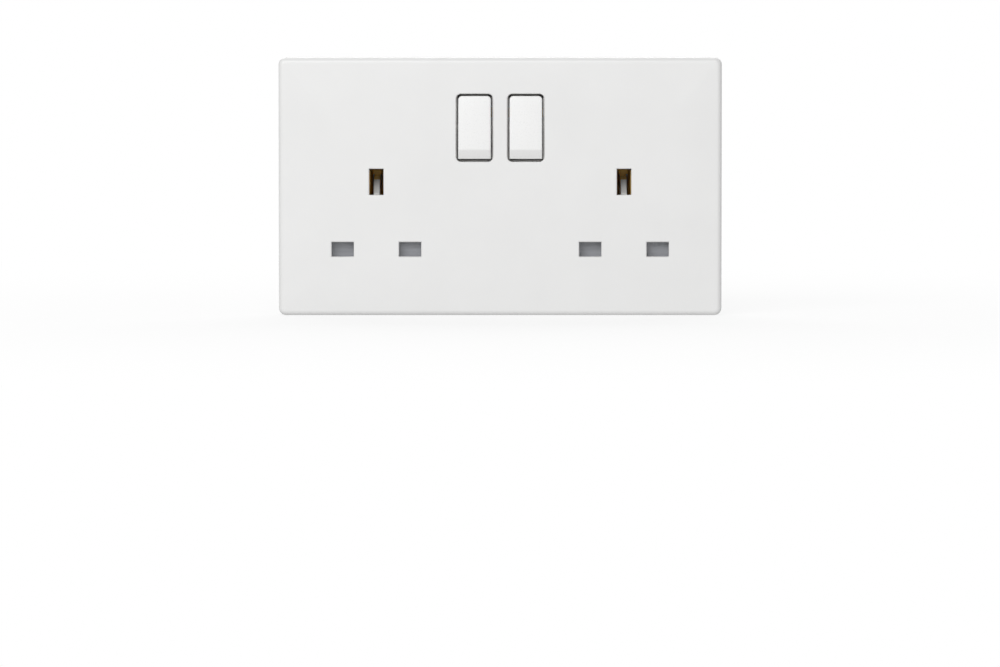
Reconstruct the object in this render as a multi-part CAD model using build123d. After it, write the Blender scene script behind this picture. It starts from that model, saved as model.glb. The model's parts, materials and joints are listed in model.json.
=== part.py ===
from build123d import *
from math import cos, pi, radians, sin, tan
import os

# Two-gang switched wall socket with a clip-on front plate.
# Frame: X to the right seen from the front, Y into the wall, Z up, in millimetres.
# The origin is the middle of the mounting frame's rear face, which meets the wall.

# General fits
SLIDE_GAP = 0.1
SEAT_GAP = 0.2
RUNNING_GAP = 0.05

# Front plate
PLATE_W = 146.0
PLATE_H = 85.0
PLATE_DEPTH = 9.0
PLATE_FACE_T = 2.2
PLATE_RIM_T = 1.5
PLATE_CORNER_R = 2.4
PLATE_EDGE_R = 1.8
PLATE_WALL_GAP = 0.3
EDGE_BREAK = 0.25
TOOTH_W = 0.8
TOOTH_SPACING = 3.0

# Pin slots, seen from the front and set in from the plate's side and bottom edges
OUTLET_INSET = 32.2
LIVE_INSET = 21.77
PIN_SPACING = 22.23
OUTLET_X = PLATE_W / 2 - OUTLET_INSET
LIVE_Z = LIVE_INSET - PLATE_H / 2
EARTH_Z = LIVE_Z + PIN_SPACING
LIVE_SLOT_W = 7.3
LIVE_SLOT_H = 4.8
EARTH_SLOT_W = 4.7
EARTH_SLOT_H = 8.6
INNER_SLOT_EXTRA = 0.4
LIVE_PIN_LENGTH = 17.7
EARTH_PIN_LENGTH = 22.7
EARTH_PIN_H = 8.0

# Mounting frame of pressed sheet, its holes and grooves set in from the plate's edges
FRAME_T = 1.0
FRAME_CORNER_R = 2.2
SIDE_EDGE_PROUD = 0.6
SIDE_EDGE_INSET = 14.3
TAB_W = 7.0
TAB_PROUD = 0.5
TOP_TAB_X = (10.4, 50.0)
BOTTOM_TAB_X = (19.8, 59.5)
CLIP_NOTCH_X = 39.6
CLIP_NOTCH_W = 11.0
CLIP_NOTCH_BASE_W = 9.5
CLIP_NOTCH_DEPTH = 2.3
CLIP_CUT_W = 7.6
CLIP_CUT_DEPTH = 1.7
PRESS_DEPTH = 1.3
PRESS_WALL = 0.8
FIXING_INSET = 12.7
FIXING_SLOT_W = 5.0
FIXING_SLOT_H = 7.3
CORNER_HOLE_R = 2.3
CORNER_HOLE_INSET_X = 6.8
CORNER_HOLE_INSET_Z = 6.35
GROOVE_INSET = 6.5
GROOVE_W = 3.0
GROOVE_L = 40.6
GROOVE_DEPTH = 0.6
GROOVE_WALL = 0.6
COLLAR_GAP = 0.35
COLLAR_T = 0.9
COLLAR_H = 1.4
COLLAR_BEND = 0.5
KEY_X = 37.5
KEY_W = 4.6
KEY_PROUD = 0.95
WINDOW_GAP = 0.15
WINDOW_T = 1.3
WINDOW_L = 7.4
SIDE_WINDOW_L = 9.6
TOP_WINDOW_X = (-47.2, -20.4, 20.4, 47.2)
BOTTOM_WINDOW_X = (-47.2, 0.0, 47.2)
UPPER_SIDE_WINDOW_DROP = 10.2
LOWER_SIDE_WINDOW_RISE = 10.6

# Rear housing: its outline set in from the plate's edges, then its levels
HOUSING_TOP_INSET = 10.8
HOUSING_BOTTOM_INSET = 11.1
HOUSING_UPPER_INSET = 12.5
HOUSING_LOWER_INSET = 11.5
HOUSING_TOP_Z = PLATE_H / 2 - HOUSING_TOP_INSET
HOUSING_BOTTOM_Z = HOUSING_BOTTOM_INSET - PLATE_H / 2
HOUSING_UPPER_X = PLATE_W / 2 - HOUSING_UPPER_INSET
HOUSING_LOWER_X = PLATE_W / 2 - HOUSING_LOWER_INSET
WAIST_GAP = 2.0
WAIST_TOP_Z = 7.3
WAIST_BOTTOM_Z = -5.9
SHOULDER_TOP_Z = 11.5
SHOULDER_BOTTOM_Z = -9.0
HOUSING_CORNER_R = 2.6
WAIST_CORNER_R = 2.0
HOUSING_WALL = 1.5
TRAY_Y = 7.5
UPPER_Y = 10.5
LOWER_Y = 13.5
EARTH_BLOCK_Y = 16.3
TOWER_Y = 24.0
TRAY_EDGE = 0.6
BLOCK_CORNER = 0.9
BLOCK_EDGE = 0.6
UPPER_SIDE_STEP = 5.1
UPPER_TOP_STEP = 4.4
UPPER_FLARE = 1.6
STEP_RISE = 4.4
EAR_RISE = 2.0
LOWER_RIGHT_STEP = 10.2
LOWER_LEFT_STEP = 6.3
LOWER_BOTTOM_STEP = 2.8
LOWER_FLARE = 1.8
FOOT_RIGHT_STEP = 3.9
FOOT_LEFT_STEP = 3.5
FOOT_H = 12.6
PANEL_W = 25.3
PANEL_H = 13.6
PANEL_DROP = 10.2
PANEL_LINE = 0.7
PANEL_PROUD = 0.3

# Terminal towers, placed from the outlets
TERMINAL_TILT = 17.5
TOWER_W = 9.2
TOWER_FLARE = 0.5
TOWER_DROP = 18.4
TOWER_SHIFT = 0.7
NEUTRAL_TOWER_SHIFT = 8.8
FOLD_RISE = 21.6
FOLD_STEP = 19.0
EARTH_BLOCK_W = 9.0
EARTH_BLOCK_DROP = 14.0
ENTRY_DROP = 13.0
ENTRY_W = 6.7
ENTRY_H = 6.8
SCREW_HOLE_R = 3.05
SCREW_INSET = 5.65

# Terminals and their screws, in the tilted terminal frame
TERMINAL_W = 6.6
TERMINAL_FRONT = -7.5
TERMINAL_REAR = 6.5
TERMINAL_BOTTOM = -4.0
TERMINAL_TOP = 7.0
TERMINAL_EDGE_R = 2.4
BORE_R = 2.6
BORE_TOP = 2.8
BORE_CENTRE = -0.2
SCREW_R = 1.95
SCREW_TIP = 2.9
SCREW_HEAD_R = 2.6
SCREW_HEAD_BOTTOM = 9.6
SCREW_HEAD_TOP = 12.0
SCREW_SLOT_W = 0.9
SCREW_SLOT_DEPTH = 1.1

# Inner front moulding
INNER_INSET = 6.9
INNER_CORNER_R = 3.0
INNER_FACE_GAP = 0.2
INNER_WALL_T = 2.0
INNER_SKIRT_T = 1.4
FIXING_CLEAR_Z = 5.4
HOOK_T = 0.9
HOOK_END_Y = 0.9
HOOK_W = 2.2

# Rockers
ROCKER_X = 8.45
ROCKER_INSET = 23.1
ROCKER_PIVOT_Y = -4.0
ROCKER_W = 10.8
ROCKER_TILT = 6.0
ROCKER_FACE = -5.4
ROCKER_TOP = 9.95
ROCKER_FACET_START = -7.9
ROCKER_BOTTOM = -10.8
ROCKER_FACET_Y = -3.4
ROCKER_SKIRT = 1.5
ROCKER_WALL = 1.7
ROCKER_CORNER_R = 1.3
ROCKER_EDGE_R = 0.5
WINDOW_W = 12.2
WINDOW_H = 22.4
WINDOW_DROP = 0.1
WINDOW_CORNER_R = 1.7
LEDGE_DROP = 10.85
LEDGE_Y = 1.2
LEDGE_T = 1.2
LEDGE_RISE = 2.0
TRUNNION_R = 1.0
TRUNNION_L = 1.1
CHEEK_T = 2.0
STEM_R = 2.3
STEM_END = 6.2
STEM_BORE_START = -1.5
PLUNGER_R = 1.2
PLUNGER_START = 3.4
PLUNGER_NOSE = 0.9

# Switch arms and contacts
ARM_PIVOT_Y = 6.3
ARM_W = 4.4
ARM_FRONT = 1.0
ARM_TAIL = 5.0
ARM_HEAD = 6.3
ARM_RIDGE_R = 0.6
TIP_GAP = 0.15
CONTACT_R = 1.2
CONTACT_Z = 5.0
FIXED_CONTACT_T = 0.7

# Current-carrying strip
STRIP_T = 0.8
CLIP_W = 5.5
CLIP_H = 6.4
CLIP_GRIP = 3.6
CLIP_MOUTH_Y = 0.8
CLIP_PIN_GAP = 0.3
RUN_H = 3.0
NECK_W = 2.5
NEUTRAL_RUN_H = 2.2
LINE_RUN_H = 3.2
EARTH_LEAF_GAP = 4.0
EARTH_MOUTH_GAP = 4.4
EARTH_PINCH_GAP = 2.9
EARTH_PINCH_L = 3.2
EARTH_LEAF_FRONT_Y = 3.0
EARTH_LEAF_BELOW = 5.7
EARTH_LEAF_ABOVE = 3.5
EARTH_WEB_W = 2.0
EARTH_WEB_BAR = 1.6
EARTH_RUN_W = 3.0
STRAP_T = 0.5
STRAP_W = 4.0
STRAP_SHIFT = 10.5

# Shutters
SHUTTER_T = 2.0
SHUTTER_COVER = 0.7
SHUTTER_TRAVEL = 5.6
SHUTTER_ARM_W = 7.0
SHUTTER_SLOT_W = 3.4
SHUTTER_WEB = 1.1
SHUTTER_HEAD = 2.5
WEDGE_W = 2.0
WEDGE_L = 6.9
GUIDE_X = 4.6
GUIDE_T = 1.2
POST_H = 1.5

# Springs
SHUTTER_SPRING_R = 0.8
SPRING_WIRE_R = 0.16
SPRING_TURNS = 6
SPRING_STEPS = 6

# Places and levels worked out from the sizes above
FIXING_X = PLATE_W / 2 - FIXING_INSET
CORNER_HOLE_X = PLATE_W / 2 - CORNER_HOLE_INSET_X
CORNER_HOLE_Z = PLATE_H / 2 - CORNER_HOLE_INSET_Z
GROOVE_X = PLATE_W / 2 - GROOVE_INSET
SIDE_EDGE_HALF = PLATE_H / 2 - SIDE_EDGE_INSET
HOUSING_WAIST_X = FIXING_X - FIXING_SLOT_W / 2 - WAIST_GAP
UPPER_HALF_W = HOUSING_UPPER_X - UPPER_SIDE_STEP
UPPER_TOP_Z = HOUSING_TOP_Z - UPPER_TOP_STEP
STEP_Z = EARTH_Z + STEP_RISE
EAR_Z = STEP_Z + EAR_RISE
LOWER_RIGHT_X = HOUSING_LOWER_X - LOWER_RIGHT_STEP
LOWER_LEFT_X = LOWER_LEFT_STEP - HOUSING_LOWER_X
LOWER_BOTTOM_Z = HOUSING_BOTTOM_Z + LOWER_BOTTOM_STEP
FOOT_RIGHT_X = HOUSING_LOWER_X - FOOT_RIGHT_STEP
FOOT_LEFT_X = FOOT_LEFT_STEP - HOUSING_LOWER_X
FOOT_TOP_Z = LOWER_BOTTOM_Z + FOOT_H
PANEL_Z = STEP_Z - PANEL_DROP
LINE_TOWER_X = OUTLET_X + TOWER_SHIFT
EARTH_TOWER_X = -LINE_TOWER_X
NEUTRAL_TOWER_X = EARTH_TOWER_X - NEUTRAL_TOWER_SHIFT
UPPER_FOLD_Z = EARTH_Z + FOLD_RISE
LOWER_FOLD_Z = UPPER_FOLD_Z - FOLD_STEP
EARTH_BLOCK_BOTTOM_Z = EARTH_Z - EARTH_BLOCK_DROP
STRAP_X = EARTH_TOWER_X + STRAP_SHIFT
INNER_HALF_H = PLATE_H / 2 - INNER_INSET
ROCKER_Z = PLATE_H / 2 - ROCKER_INSET
EARTH_LEAF_BOTTOM = EARTH_Z - EARTH_LEAF_BELOW
EARTH_LEAF_TOP = EARTH_Z + EARTH_LEAF_ABOVE
FACE_Y = -PLATE_DEPTH
FACE_BACK_Y = FACE_Y + PLATE_FACE_T
INNER_FACE_Y = FACE_BACK_Y + INNER_FACE_GAP
INNER_BACK_Y = INNER_FACE_Y + INNER_WALL_T
FRAME_FRONT_Y = -FRAME_T
INNER_HALF_W = GROOVE_X - GROOVE_W / 2 - GROOVE_WALL - SEAT_GAP
FRAME_W = PLATE_W - 2 * (PLATE_RIM_T + SEAT_GAP)
FRAME_H = PLATE_H - 2 * (PLATE_RIM_T + SEAT_GAP)
UPPER_FLOOR_Y = UPPER_Y - HOUSING_WALL
LOWER_FLOOR_Y = LOWER_Y - HOUSING_WALL
CLIP_BASE_Y = FACE_Y + LIVE_PIN_LENGTH + CLIP_PIN_GAP
EARTH_BASE_Y = FACE_Y + EARTH_PIN_LENGTH + SEAT_GAP
SHUTTER_FRONT_Y = INNER_BACK_Y + SLIDE_GAP
SHUTTER_BACK_Y = SHUTTER_FRONT_Y + SHUTTER_T
SHUTTER_TOP = LIVE_Z + LIVE_SLOT_H / 2 + SHUTTER_COVER
SHUTTER_BOTTOM = LIVE_Z - LIVE_SLOT_H / 2 - SHUTTER_COVER
WEDGE_FOOT_Z = EARTH_Z - EARTH_PIN_H / 2
SHUTTER_SLOT_BOTTOM = SHUTTER_TOP + SHUTTER_WEB
SHUTTER_SLOT_TOP = WEDGE_FOOT_Z - SHUTTER_HEAD
ARM_SUPPORT_Y = ARM_PIVOT_Y + ARM_RIDGE_R + SLIDE_GAP
PLUNGER_TIP = ARM_PIVOT_Y - ROCKER_PIVOT_Y - ARM_FRONT - TIP_GAP
LINE_BAR_Y = UPPER_FLOOR_Y - STRIP_T
CONTACT_ROW_Z = ROCKER_Z + CONTACT_Z
ARM_SWING = (CONTACT_Z + CONTACT_R) * sin(radians(ROCKER_TILT))
ARM_BACK = STRIP_T - ARM_FRONT
FIXED_FACE_Y = LINE_BAR_Y - FIXED_CONTACT_T
MOVING_CONTACT_T = FIXED_FACE_Y - SLIDE_GAP - ARM_SWING - ARM_PIVOT_Y - ARM_BACK
OUTLETS = {"left": -OUTLET_X, "right": OUTLET_X}
ROCKERS = {"left": -ROCKER_X, "right": ROCKER_X}


def block(x0, x1, y0, y1, z0, z1):
    """Box between two corners."""
    size = Box(abs(x1 - x0), abs(y1 - y0), abs(z1 - z0))
    return Pos((x0 + x1) / 2, (y0 + y1) / 2, (z0 + z1) / 2) * size


def prism(sketch, front_y, rear_y):
    """Front-view outline carried straight back from front_y to rear_y."""
    return extrude(Plane.XZ.offset(-rear_y) * sketch, amount=rear_y - front_y)


def side_prism(points, x0, x1):
    """Side-view outline of (y, z) points carried across from x0 to x1."""
    outline = make_face(Polyline(*points, close=True))
    return extrude(Plane.YZ.offset(x0) * outline, amount=x1 - x0)


def flared(x0, x1, z0, z1, front_y, rear_y, flare):
    """Block with broken corners that grows by flare on every side from rear to front."""
    middle = Pos((x0 + x1) / 2, (z0 + z1) / 2)
    rear = Plane.XZ.offset(-rear_y) * middle * Rectangle(x1 - x0, z1 - z0)
    wide = Rectangle(x1 - x0 + 2 * flare, z1 - z0 + 2 * flare)
    front = Plane.XZ.offset(-front_y) * middle * wide
    body = loft([front, rear], ruled=True)
    return chamfer(body.edges().filter_by(Plane.XZ, reverse=True), BLOCK_CORNER)


def plateau(x0, x1, z0, z1, rear_y, flare):
    """Raised block on the tray with a broken rear edge."""
    body = flared(x0, x1, z0, z1, TRAY_Y, rear_y, flare)
    return chamfer(body.faces().sort_by(Axis.Y)[-1].edges(), BLOCK_EDGE)


def across(radius, x0, x1, y=0.0, z=0.0):
    """Cylinder along X."""
    return Pos((x0 + x1) / 2, y, z) * Rot(0, 90, 0) * Cylinder(radius, x1 - x0)


def inward(radius, y0, y1, x=0.0, z=0.0):
    """Cylinder along Y."""
    return Pos(x, (y0 + y1) / 2, z) * Rot(90, 0, 0) * Cylinder(radius, y1 - y0)


def coil(radius, length, turns):
    """Compression spring along Z from the origin, its wire inside the length."""
    rise = length - 2 * SPRING_WIRE_R
    count = turns * SPRING_STEPS
    points = []
    for i in range(count + 1):
        angle = 2 * pi * i / SPRING_STEPS
        level = SPRING_WIRE_R + rise * i / count
        points.append((radius * cos(angle), radius * sin(angle), level))
    path = Polyline(*points)
    section = Plane(path @ 0, z_dir=path % 0) * RegularPolygon(SPRING_WIRE_R, 4)
    return sweep(section, path=path, transition=Transition.RIGHT)


def live_pins(outlet_x):
    """Neutral and line pin places of an outlet, left and right."""
    return (outlet_x - PIN_SPACING / 2, outlet_x + PIN_SPACING / 2)


def pin_slots(extra):
    """Outlines of all six pin slots, grown by extra."""
    live = Rectangle(LIVE_SLOT_W + extra, LIVE_SLOT_H + extra)
    earth = Rectangle(EARTH_SLOT_W + extra, EARTH_SLOT_H + extra)
    slots = []
    for outlet_x in OUTLETS.values():
        slots.append(Pos(outlet_x, EARTH_Z) * earth)
        slots += [Pos(x, LIVE_Z) * live for x in live_pins(outlet_x)]
    return slots


def housing_outline():
    """Outline of the rear casing, waisted beside the fixing slots."""
    right = [
        (HOUSING_UPPER_X, HOUSING_TOP_Z),
        (HOUSING_UPPER_X, SHOULDER_TOP_Z),
        (HOUSING_WAIST_X, WAIST_TOP_Z),
        (HOUSING_WAIST_X, WAIST_BOTTOM_Z),
        (HOUSING_LOWER_X, SHOULDER_BOTTOM_Z),
        (HOUSING_LOWER_X, HOUSING_BOTTOM_Z),
    ]
    left = [(-x, z) for x, z in reversed(right)]
    sketch = make_face(Polyline(*right, *left, close=True))
    sketch = fillet(sketch.vertices().sort_by(Axis.Y)[2:-2], WAIST_CORNER_R)
    corners = sketch.vertices().sort_by(Axis.Y)
    return fillet(corners[:2] + corners[-2:], HOUSING_CORNER_R)


def clip_places():
    """Middle, width and height of every clip window in the frame."""
    reach = COLLAR_GAP + COLLAR_T + WINDOW_GAP + WINDOW_T / 2
    top = [(x, HOUSING_TOP_Z + reach, WINDOW_L, WINDOW_T) for x in TOP_WINDOW_X]
    bottom = [(x, HOUSING_BOTTOM_Z - reach, WINDOW_L, WINDOW_T) for x in BOTTOM_WINDOW_X]
    sides = []
    upper_z = HOUSING_TOP_Z - UPPER_SIDE_WINDOW_DROP
    lower_z = HOUSING_BOTTOM_Z + LOWER_SIDE_WINDOW_RISE
    for side in (-1, 1):
        sides.append((side * (HOUSING_UPPER_X + reach), upper_z, WINDOW_T, SIDE_WINDOW_L))
        sides.append((side * (HOUSING_LOWER_X + reach), lower_z, WINDOW_T, SIDE_WINDOW_L))
    return top + bottom + sides


def clip_notch_places():
    """Middle of each clip notch along the frame's edges, with up or down as a sign."""
    return [(x, side) for side in (-1, 1) for x in (-CLIP_NOTCH_X, 0.0, CLIP_NOTCH_X)]


def edge_tab_places():
    """Middle of each edge tab, with up or down as a sign."""
    top = [(sign * x, 1) for x in TOP_TAB_X for sign in (-1, 1)]
    bottom = [(sign * x, -1) for x in BOTTOM_TAB_X for sign in (-1, 1)]
    return top + bottom


def front_plate():
    """Cover with rounded edges, pin slots, rocker windows and clip teeth."""
    rim_y = -PLATE_WALL_GAP
    plate = prism(RectangleRounded(PLATE_W, PLATE_H, PLATE_CORNER_R), FACE_Y, rim_y)
    plate = fillet(plate.faces().sort_by(Axis.Y)[0].edges(), PLATE_EDGE_R)
    inner_w = PLATE_W - 2 * PLATE_RIM_T
    inner_h = PLATE_H - 2 * PLATE_RIM_T
    plate -= block(-inner_w / 2, inner_w / 2, FACE_BACK_Y, 0, -inner_h / 2, inner_h / 2)
    # reliefs for the frame's wider side edges and its tabs
    relief_y = FRAME_FRONT_Y - SEAT_GAP
    half = FRAME_W / 2 + SIDE_EDGE_PROUD + SEAT_GAP
    reach = SIDE_EDGE_HALF + SEAT_GAP
    plate -= block(-half, half, relief_y, 0, -reach, reach)
    tab_top = FRAME_H / 2 + TAB_PROUD + SEAT_GAP
    for x, side in edge_tab_places():
        half_tab = TAB_W / 2 + SEAT_GAP
        plate -= block(x - half_tab, x + half_tab, relief_y, 0, 0, side * tab_top)
    for slot in pin_slots(0):
        plate -= prism(slot, FACE_Y, FACE_BACK_Y)
    for x in ROCKERS.values():
        window = RectangleRounded(WINDOW_W, WINDOW_H, WINDOW_CORNER_R)
        plate -= prism(Pos(x, ROCKER_Z - WINDOW_DROP) * window, FACE_Y, FACE_BACK_Y)
    face = plate.faces().sort_by(Axis.Y)[0]
    plate = chamfer([edge for wire in face.inner_wires() for edge in wire.edges()], EDGE_BREAK)
    return plate + [clip_tooth(x, side, inner_h / 2) for x, side in tooth_places()]


def tooth_places():
    """A pair of teeth stands in every clip notch."""
    offsets = (-TOOTH_SPACING / 2, TOOTH_SPACING / 2)
    return [(x + dx, side) for x, side in clip_notch_places() for dx in offsets]


def clip_tooth(x, side, wall_z):
    """Rib on the plate's rim whose hook catches behind the pressed notch."""
    rib_z = FRAME_H / 2 - CLIP_CUT_DEPTH + SEAT_GAP
    hook_z = FRAME_H / 2 - CLIP_NOTCH_DEPTH + SLIDE_GAP
    hook_y = -PRESS_DEPTH + SLIDE_GAP
    end_y = -PLATE_WALL_GAP - SLIDE_GAP
    root_z = wall_z + PLATE_RIM_T / 2
    x0 = x - TOOTH_W / 2
    x1 = x + TOOTH_W / 2
    rib = block(x0, x1, FACE_BACK_Y, end_y, side * rib_z, side * root_z)
    return rib + block(x0, x1, hook_y, end_y, side * hook_z, side * root_z)


def clip_notch(x, side, grow):
    """Trapezoid outline of a pressed clip notch, open at the frame's edge."""
    edge = FRAME_H / 2
    base = edge - CLIP_NOTCH_DEPTH - grow
    points = [
        (x - CLIP_NOTCH_W / 2 - grow, side * edge),
        (x - CLIP_NOTCH_BASE_W / 2 - grow, side * base),
        (x + CLIP_NOTCH_BASE_W / 2 + grow, side * base),
        (x + CLIP_NOTCH_W / 2 + grow, side * edge),
    ]
    return make_face(Polyline(*points, close=True))


def mounting_frame():
    """Pressed sheet frame with its collar, notches, tabs, grooves, holes and windows."""
    sheet = RectangleRounded(FRAME_W, FRAME_H, FRAME_CORNER_R)
    sheet += Rectangle(FRAME_W + 2 * SIDE_EDGE_PROUD, 2 * SIDE_EDGE_HALF)
    for x, side in edge_tab_places():
        tab = Rectangle(TAB_W, 2 * TAB_PROUD)
        sheet += Pos(x, side * FRAME_H / 2) * tab
    frame = prism(sheet, FRAME_FRONT_Y, 0)
    # pressed cups for the clip notches and the stiffening grooves
    for x, side in clip_notch_places():
        frame += prism(clip_notch(x, side, PRESS_WALL), FRAME_FRONT_Y - PRESS_DEPTH, 0)
        frame -= prism(clip_notch(x, side, 0), -PRESS_DEPTH, 0)
        cut_z = side * FRAME_H / 2
        cut = Pos(x, cut_z) * Rectangle(CLIP_CUT_W, 2 * CLIP_CUT_DEPTH)
        frame -= prism(cut, FRAME_FRONT_Y - PRESS_DEPTH, 0)
    wide = GROOVE_W + 2 * GROOVE_WALL
    for x in (-GROOVE_X, GROOVE_X):
        outer = Pos(x, 0) * SlotOverall(GROOVE_L + 2 * GROOVE_WALL, wide, 90)
        frame += prism(outer, FRAME_FRONT_Y - GROOVE_DEPTH, 0)
        frame -= prism(Pos(x, 0) * SlotOverall(GROOVE_L, GROOVE_W, 90), -GROOVE_DEPTH, 0)
    # collar bent back round the opening
    frame += prism(offset(housing_outline(), COLLAR_GAP + COLLAR_T), 0, COLLAR_H)
    frame = chamfer(collar_foot(frame), COLLAR_BEND)
    opening = offset(housing_outline(), COLLAR_GAP)
    frame -= prism(opening, FRAME_FRONT_Y - PRESS_DEPTH, COLLAR_H)
    key_half = KEY_W / 2 + SEAT_GAP
    key_reach = COLLAR_GAP + COLLAR_T + SLIDE_GAP
    for x in (-KEY_X, KEY_X):
        low = HOUSING_BOTTOM_Z - key_reach
        high = HOUSING_TOP_Z + key_reach
        frame -= block(x - key_half, x + key_half, FRAME_FRONT_Y, COLLAR_H, low, high)
    for x, z, w, h in clip_places():
        frame -= prism(Pos(x, z) * Rectangle(w, h), FRAME_FRONT_Y - GROOVE_DEPTH, COLLAR_H)
    for x in (-FIXING_X, FIXING_X):
        slot = Pos(x, 0) * SlotOverall(FIXING_SLOT_H, FIXING_SLOT_W, 90)
        frame -= prism(slot, FRAME_FRONT_Y, 0)
    for x in (-CORNER_HOLE_X, CORNER_HOLE_X):
        for z in (-CORNER_HOLE_Z, CORNER_HOLE_Z):
            frame -= prism(Pos(x, z) * Circle(CORNER_HOLE_R), FRAME_FRONT_Y, 0)
    return frame


def collar_foot(frame):
    """Edges where the collar meets the sheet."""
    half_w = HOUSING_LOWER_X + COLLAR_GAP + COLLAR_T + SEAT_GAP
    half_h = HOUSING_TOP_Z + COLLAR_GAP + COLLAR_T + SEAT_GAP
    level = frame.edges().filter_by_position(Axis.Y, 0, 0)
    return [e for e in level if abs(e.center().X) < half_w and abs(e.center().Z) < half_h]


def inner_front():
    """Moulding under the plate: carries the shutters and rockers and clips to the frame."""
    outline = RectangleRounded(2 * INNER_HALF_W, 2 * INNER_HALF_H, INNER_CORNER_R)
    notch_x = HOUSING_WAIST_X + SEAT_GAP
    notch_w = 2 * (INNER_HALF_W - notch_x)
    for side in (-1, 1):
        notch = Rectangle(notch_w, 2 * FIXING_CLEAR_Z)
        outline -= Pos(side * INNER_HALF_W, 0) * notch
    body = prism(outline, INNER_FACE_Y, FRAME_FRONT_Y)
    body -= prism(offset(outline, -INNER_SKIRT_T), INNER_BACK_Y, FRAME_FRONT_Y)
    body -= prism(offset(housing_outline(), SLIDE_GAP), INNER_BACK_Y, FRAME_FRONT_Y)
    for slot in pin_slots(INNER_SLOT_EXTRA):
        body -= prism(slot, INNER_FACE_Y, INNER_BACK_Y)
    for x in ROCKERS.values():
        hole = Rectangle(cheek_gap(), 2 * rocker_hole_reach())
        body -= prism(Pos(x, ROCKER_Z) * hole, INNER_FACE_Y, INNER_BACK_Y)
        body += rocker_ledge(x)
    body += rocker_cheeks()
    body -= across(TRUNNION_R + RUNNING_GAP, -cheek_end(), cheek_end(), ROCKER_PIVOT_Y, ROCKER_Z)
    for outlet_x in OUTLETS.values():
        body += spring_post(outlet_x)
    for x, z, w, h in clip_places():
        body += hook(x, z, w, h)
    return body


def cheek_gap():
    """Room between the two cheeks that carry a rocker."""
    return ROCKER_W + 2 * (SEAT_GAP + SLIDE_GAP)


def rocker_hole_reach():
    """Reach of a rocker's hole in the moulding, up and down from the pivot."""
    return WINDOW_H / 2 + WINDOW_DROP + INNER_SLOT_EXTRA


def rocker_ledge(x):
    """Ledge behind the lower end of a rocker's hole, turned up at its back."""
    hole_z = ROCKER_Z - rocker_hole_reach()
    low = hole_z - LEDGE_T
    lip = hole_z - SEAT_GAP
    top = ROCKER_Z - LEDGE_DROP
    root_y = INNER_BACK_Y - INNER_WALL_T / 2
    front_y = INNER_BACK_Y + SEAT_GAP
    profile = [
        (root_y, low),
        (LEDGE_Y, low),
        (LEDGE_Y, top + LEDGE_RISE),
        (LEDGE_Y - LEDGE_T, top + LEDGE_RISE),
        (LEDGE_Y - LEDGE_T, top),
        (front_y, top),
        (front_y, lip),
        (root_y, lip),
    ]
    half = cheek_gap() / 2 - SEAT_GAP
    return side_prism(profile, x - half, x + half)


def cheek_end():
    """Outer face of the outer cheeks."""
    return ROCKER_X + cheek_gap() / 2 + CHEEK_T


def rocker_cheeks():
    """Bearing cheeks behind the moulding's wall: one between the rockers, one on each side."""
    y0 = INNER_FACE_Y
    y1 = ROCKER_PIVOT_Y + TRUNNION_R + CHEEK_T
    half = CHEEK_T + TRUNNION_R
    z0 = ROCKER_Z - half
    z1 = ROCKER_Z + half
    middle = ROCKER_X - cheek_gap() / 2
    cheeks = block(-middle, middle, y0, y1, z0, z1)
    for side in (-1, 1):
        inner = side * (cheek_end() - CHEEK_T)
        cheeks += block(inner, side * cheek_end(), y0, y1, z0, z1)
    return cheeks


def spring_post(outlet_x):
    """Post in the shutter's slot that the shutter spring stands on."""
    half = SHUTTER_SLOT_W / 2 - SEAT_GAP
    z0 = SHUTTER_SLOT_BOTTOM + SEAT_GAP
    return block(outlet_x - half, outlet_x + half, INNER_FACE_Y, SHUTTER_BACK_Y, z0, z0 + POST_H)


def hook(x, z, w, h):
    """Pair of prongs, or one wide prong on the short top clips, through a frame window."""
    along_x = w > h
    length = max(w, h) - 2 * SEAT_GAP
    offsets = [-(length - HOOK_W) / 2, (length - HOOK_W) / 2]
    wide = HOOK_W
    if along_x and z > 0:
        offsets = [0.0]
        wide = length
    prongs = []
    for shift in offsets:
        size = (wide, HOOK_T) if along_x else (HOOK_T, wide)
        place = Pos(x + shift, z) if along_x else Pos(x, z + shift)
        prongs.append(prism(place * Rectangle(*size), INNER_FACE_Y, HOOK_END_Y))
    return prongs


def terminal_location(tower_x, fold_z):
    """Frame of a terminal: Z along its screw, Y out of its wire bore, both tilted."""
    tilt = radians(TERMINAL_TILT)
    screw_z = fold_z + SCREW_INSET * tan(tilt)
    screw_y = TOWER_Y - SCREW_INSET
    entry_z = fold_z - ENTRY_DROP
    # distance down the screw's line to where it meets the bore's line
    down = (screw_z - entry_z) * cos(tilt) - (TOWER_Y - screw_y) * sin(tilt)
    return Location(
        (tower_x, screw_y - down * sin(tilt), screw_z - down * cos(tilt)),
        (-TERMINAL_TILT, 0, 0),
    )


TERMINALS = {
    "line": terminal_location(LINE_TOWER_X, UPPER_FOLD_Z),
    "earth": terminal_location(EARTH_TOWER_X, UPPER_FOLD_Z),
    "neutral": terminal_location(NEUTRAL_TOWER_X, LOWER_FOLD_Z),
}


def tower(tower_x, fold_z):
    """Terminal tower with a sloped screw face above its wire entry."""
    root_y = TRAY_Y
    bottom = fold_z - TOWER_DROP
    slope_z = fold_z + (TOWER_Y - root_y) * tan(radians(TERMINAL_TILT))
    profile = [(root_y, slope_z), (TOWER_Y, fold_z), (TOWER_Y, bottom), (root_y, bottom)]
    wide = TOWER_W + 2 * TOWER_FLARE
    body = side_prism(profile, tower_x - wide / 2, tower_x + wide / 2)
    sides = flared(
        tower_x - TOWER_W / 2,
        tower_x + TOWER_W / 2,
        bottom - TOWER_FLARE,
        slope_z + TOWER_FLARE,
        root_y,
        TOWER_Y,
        TOWER_FLARE,
    )
    return body & sides


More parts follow.
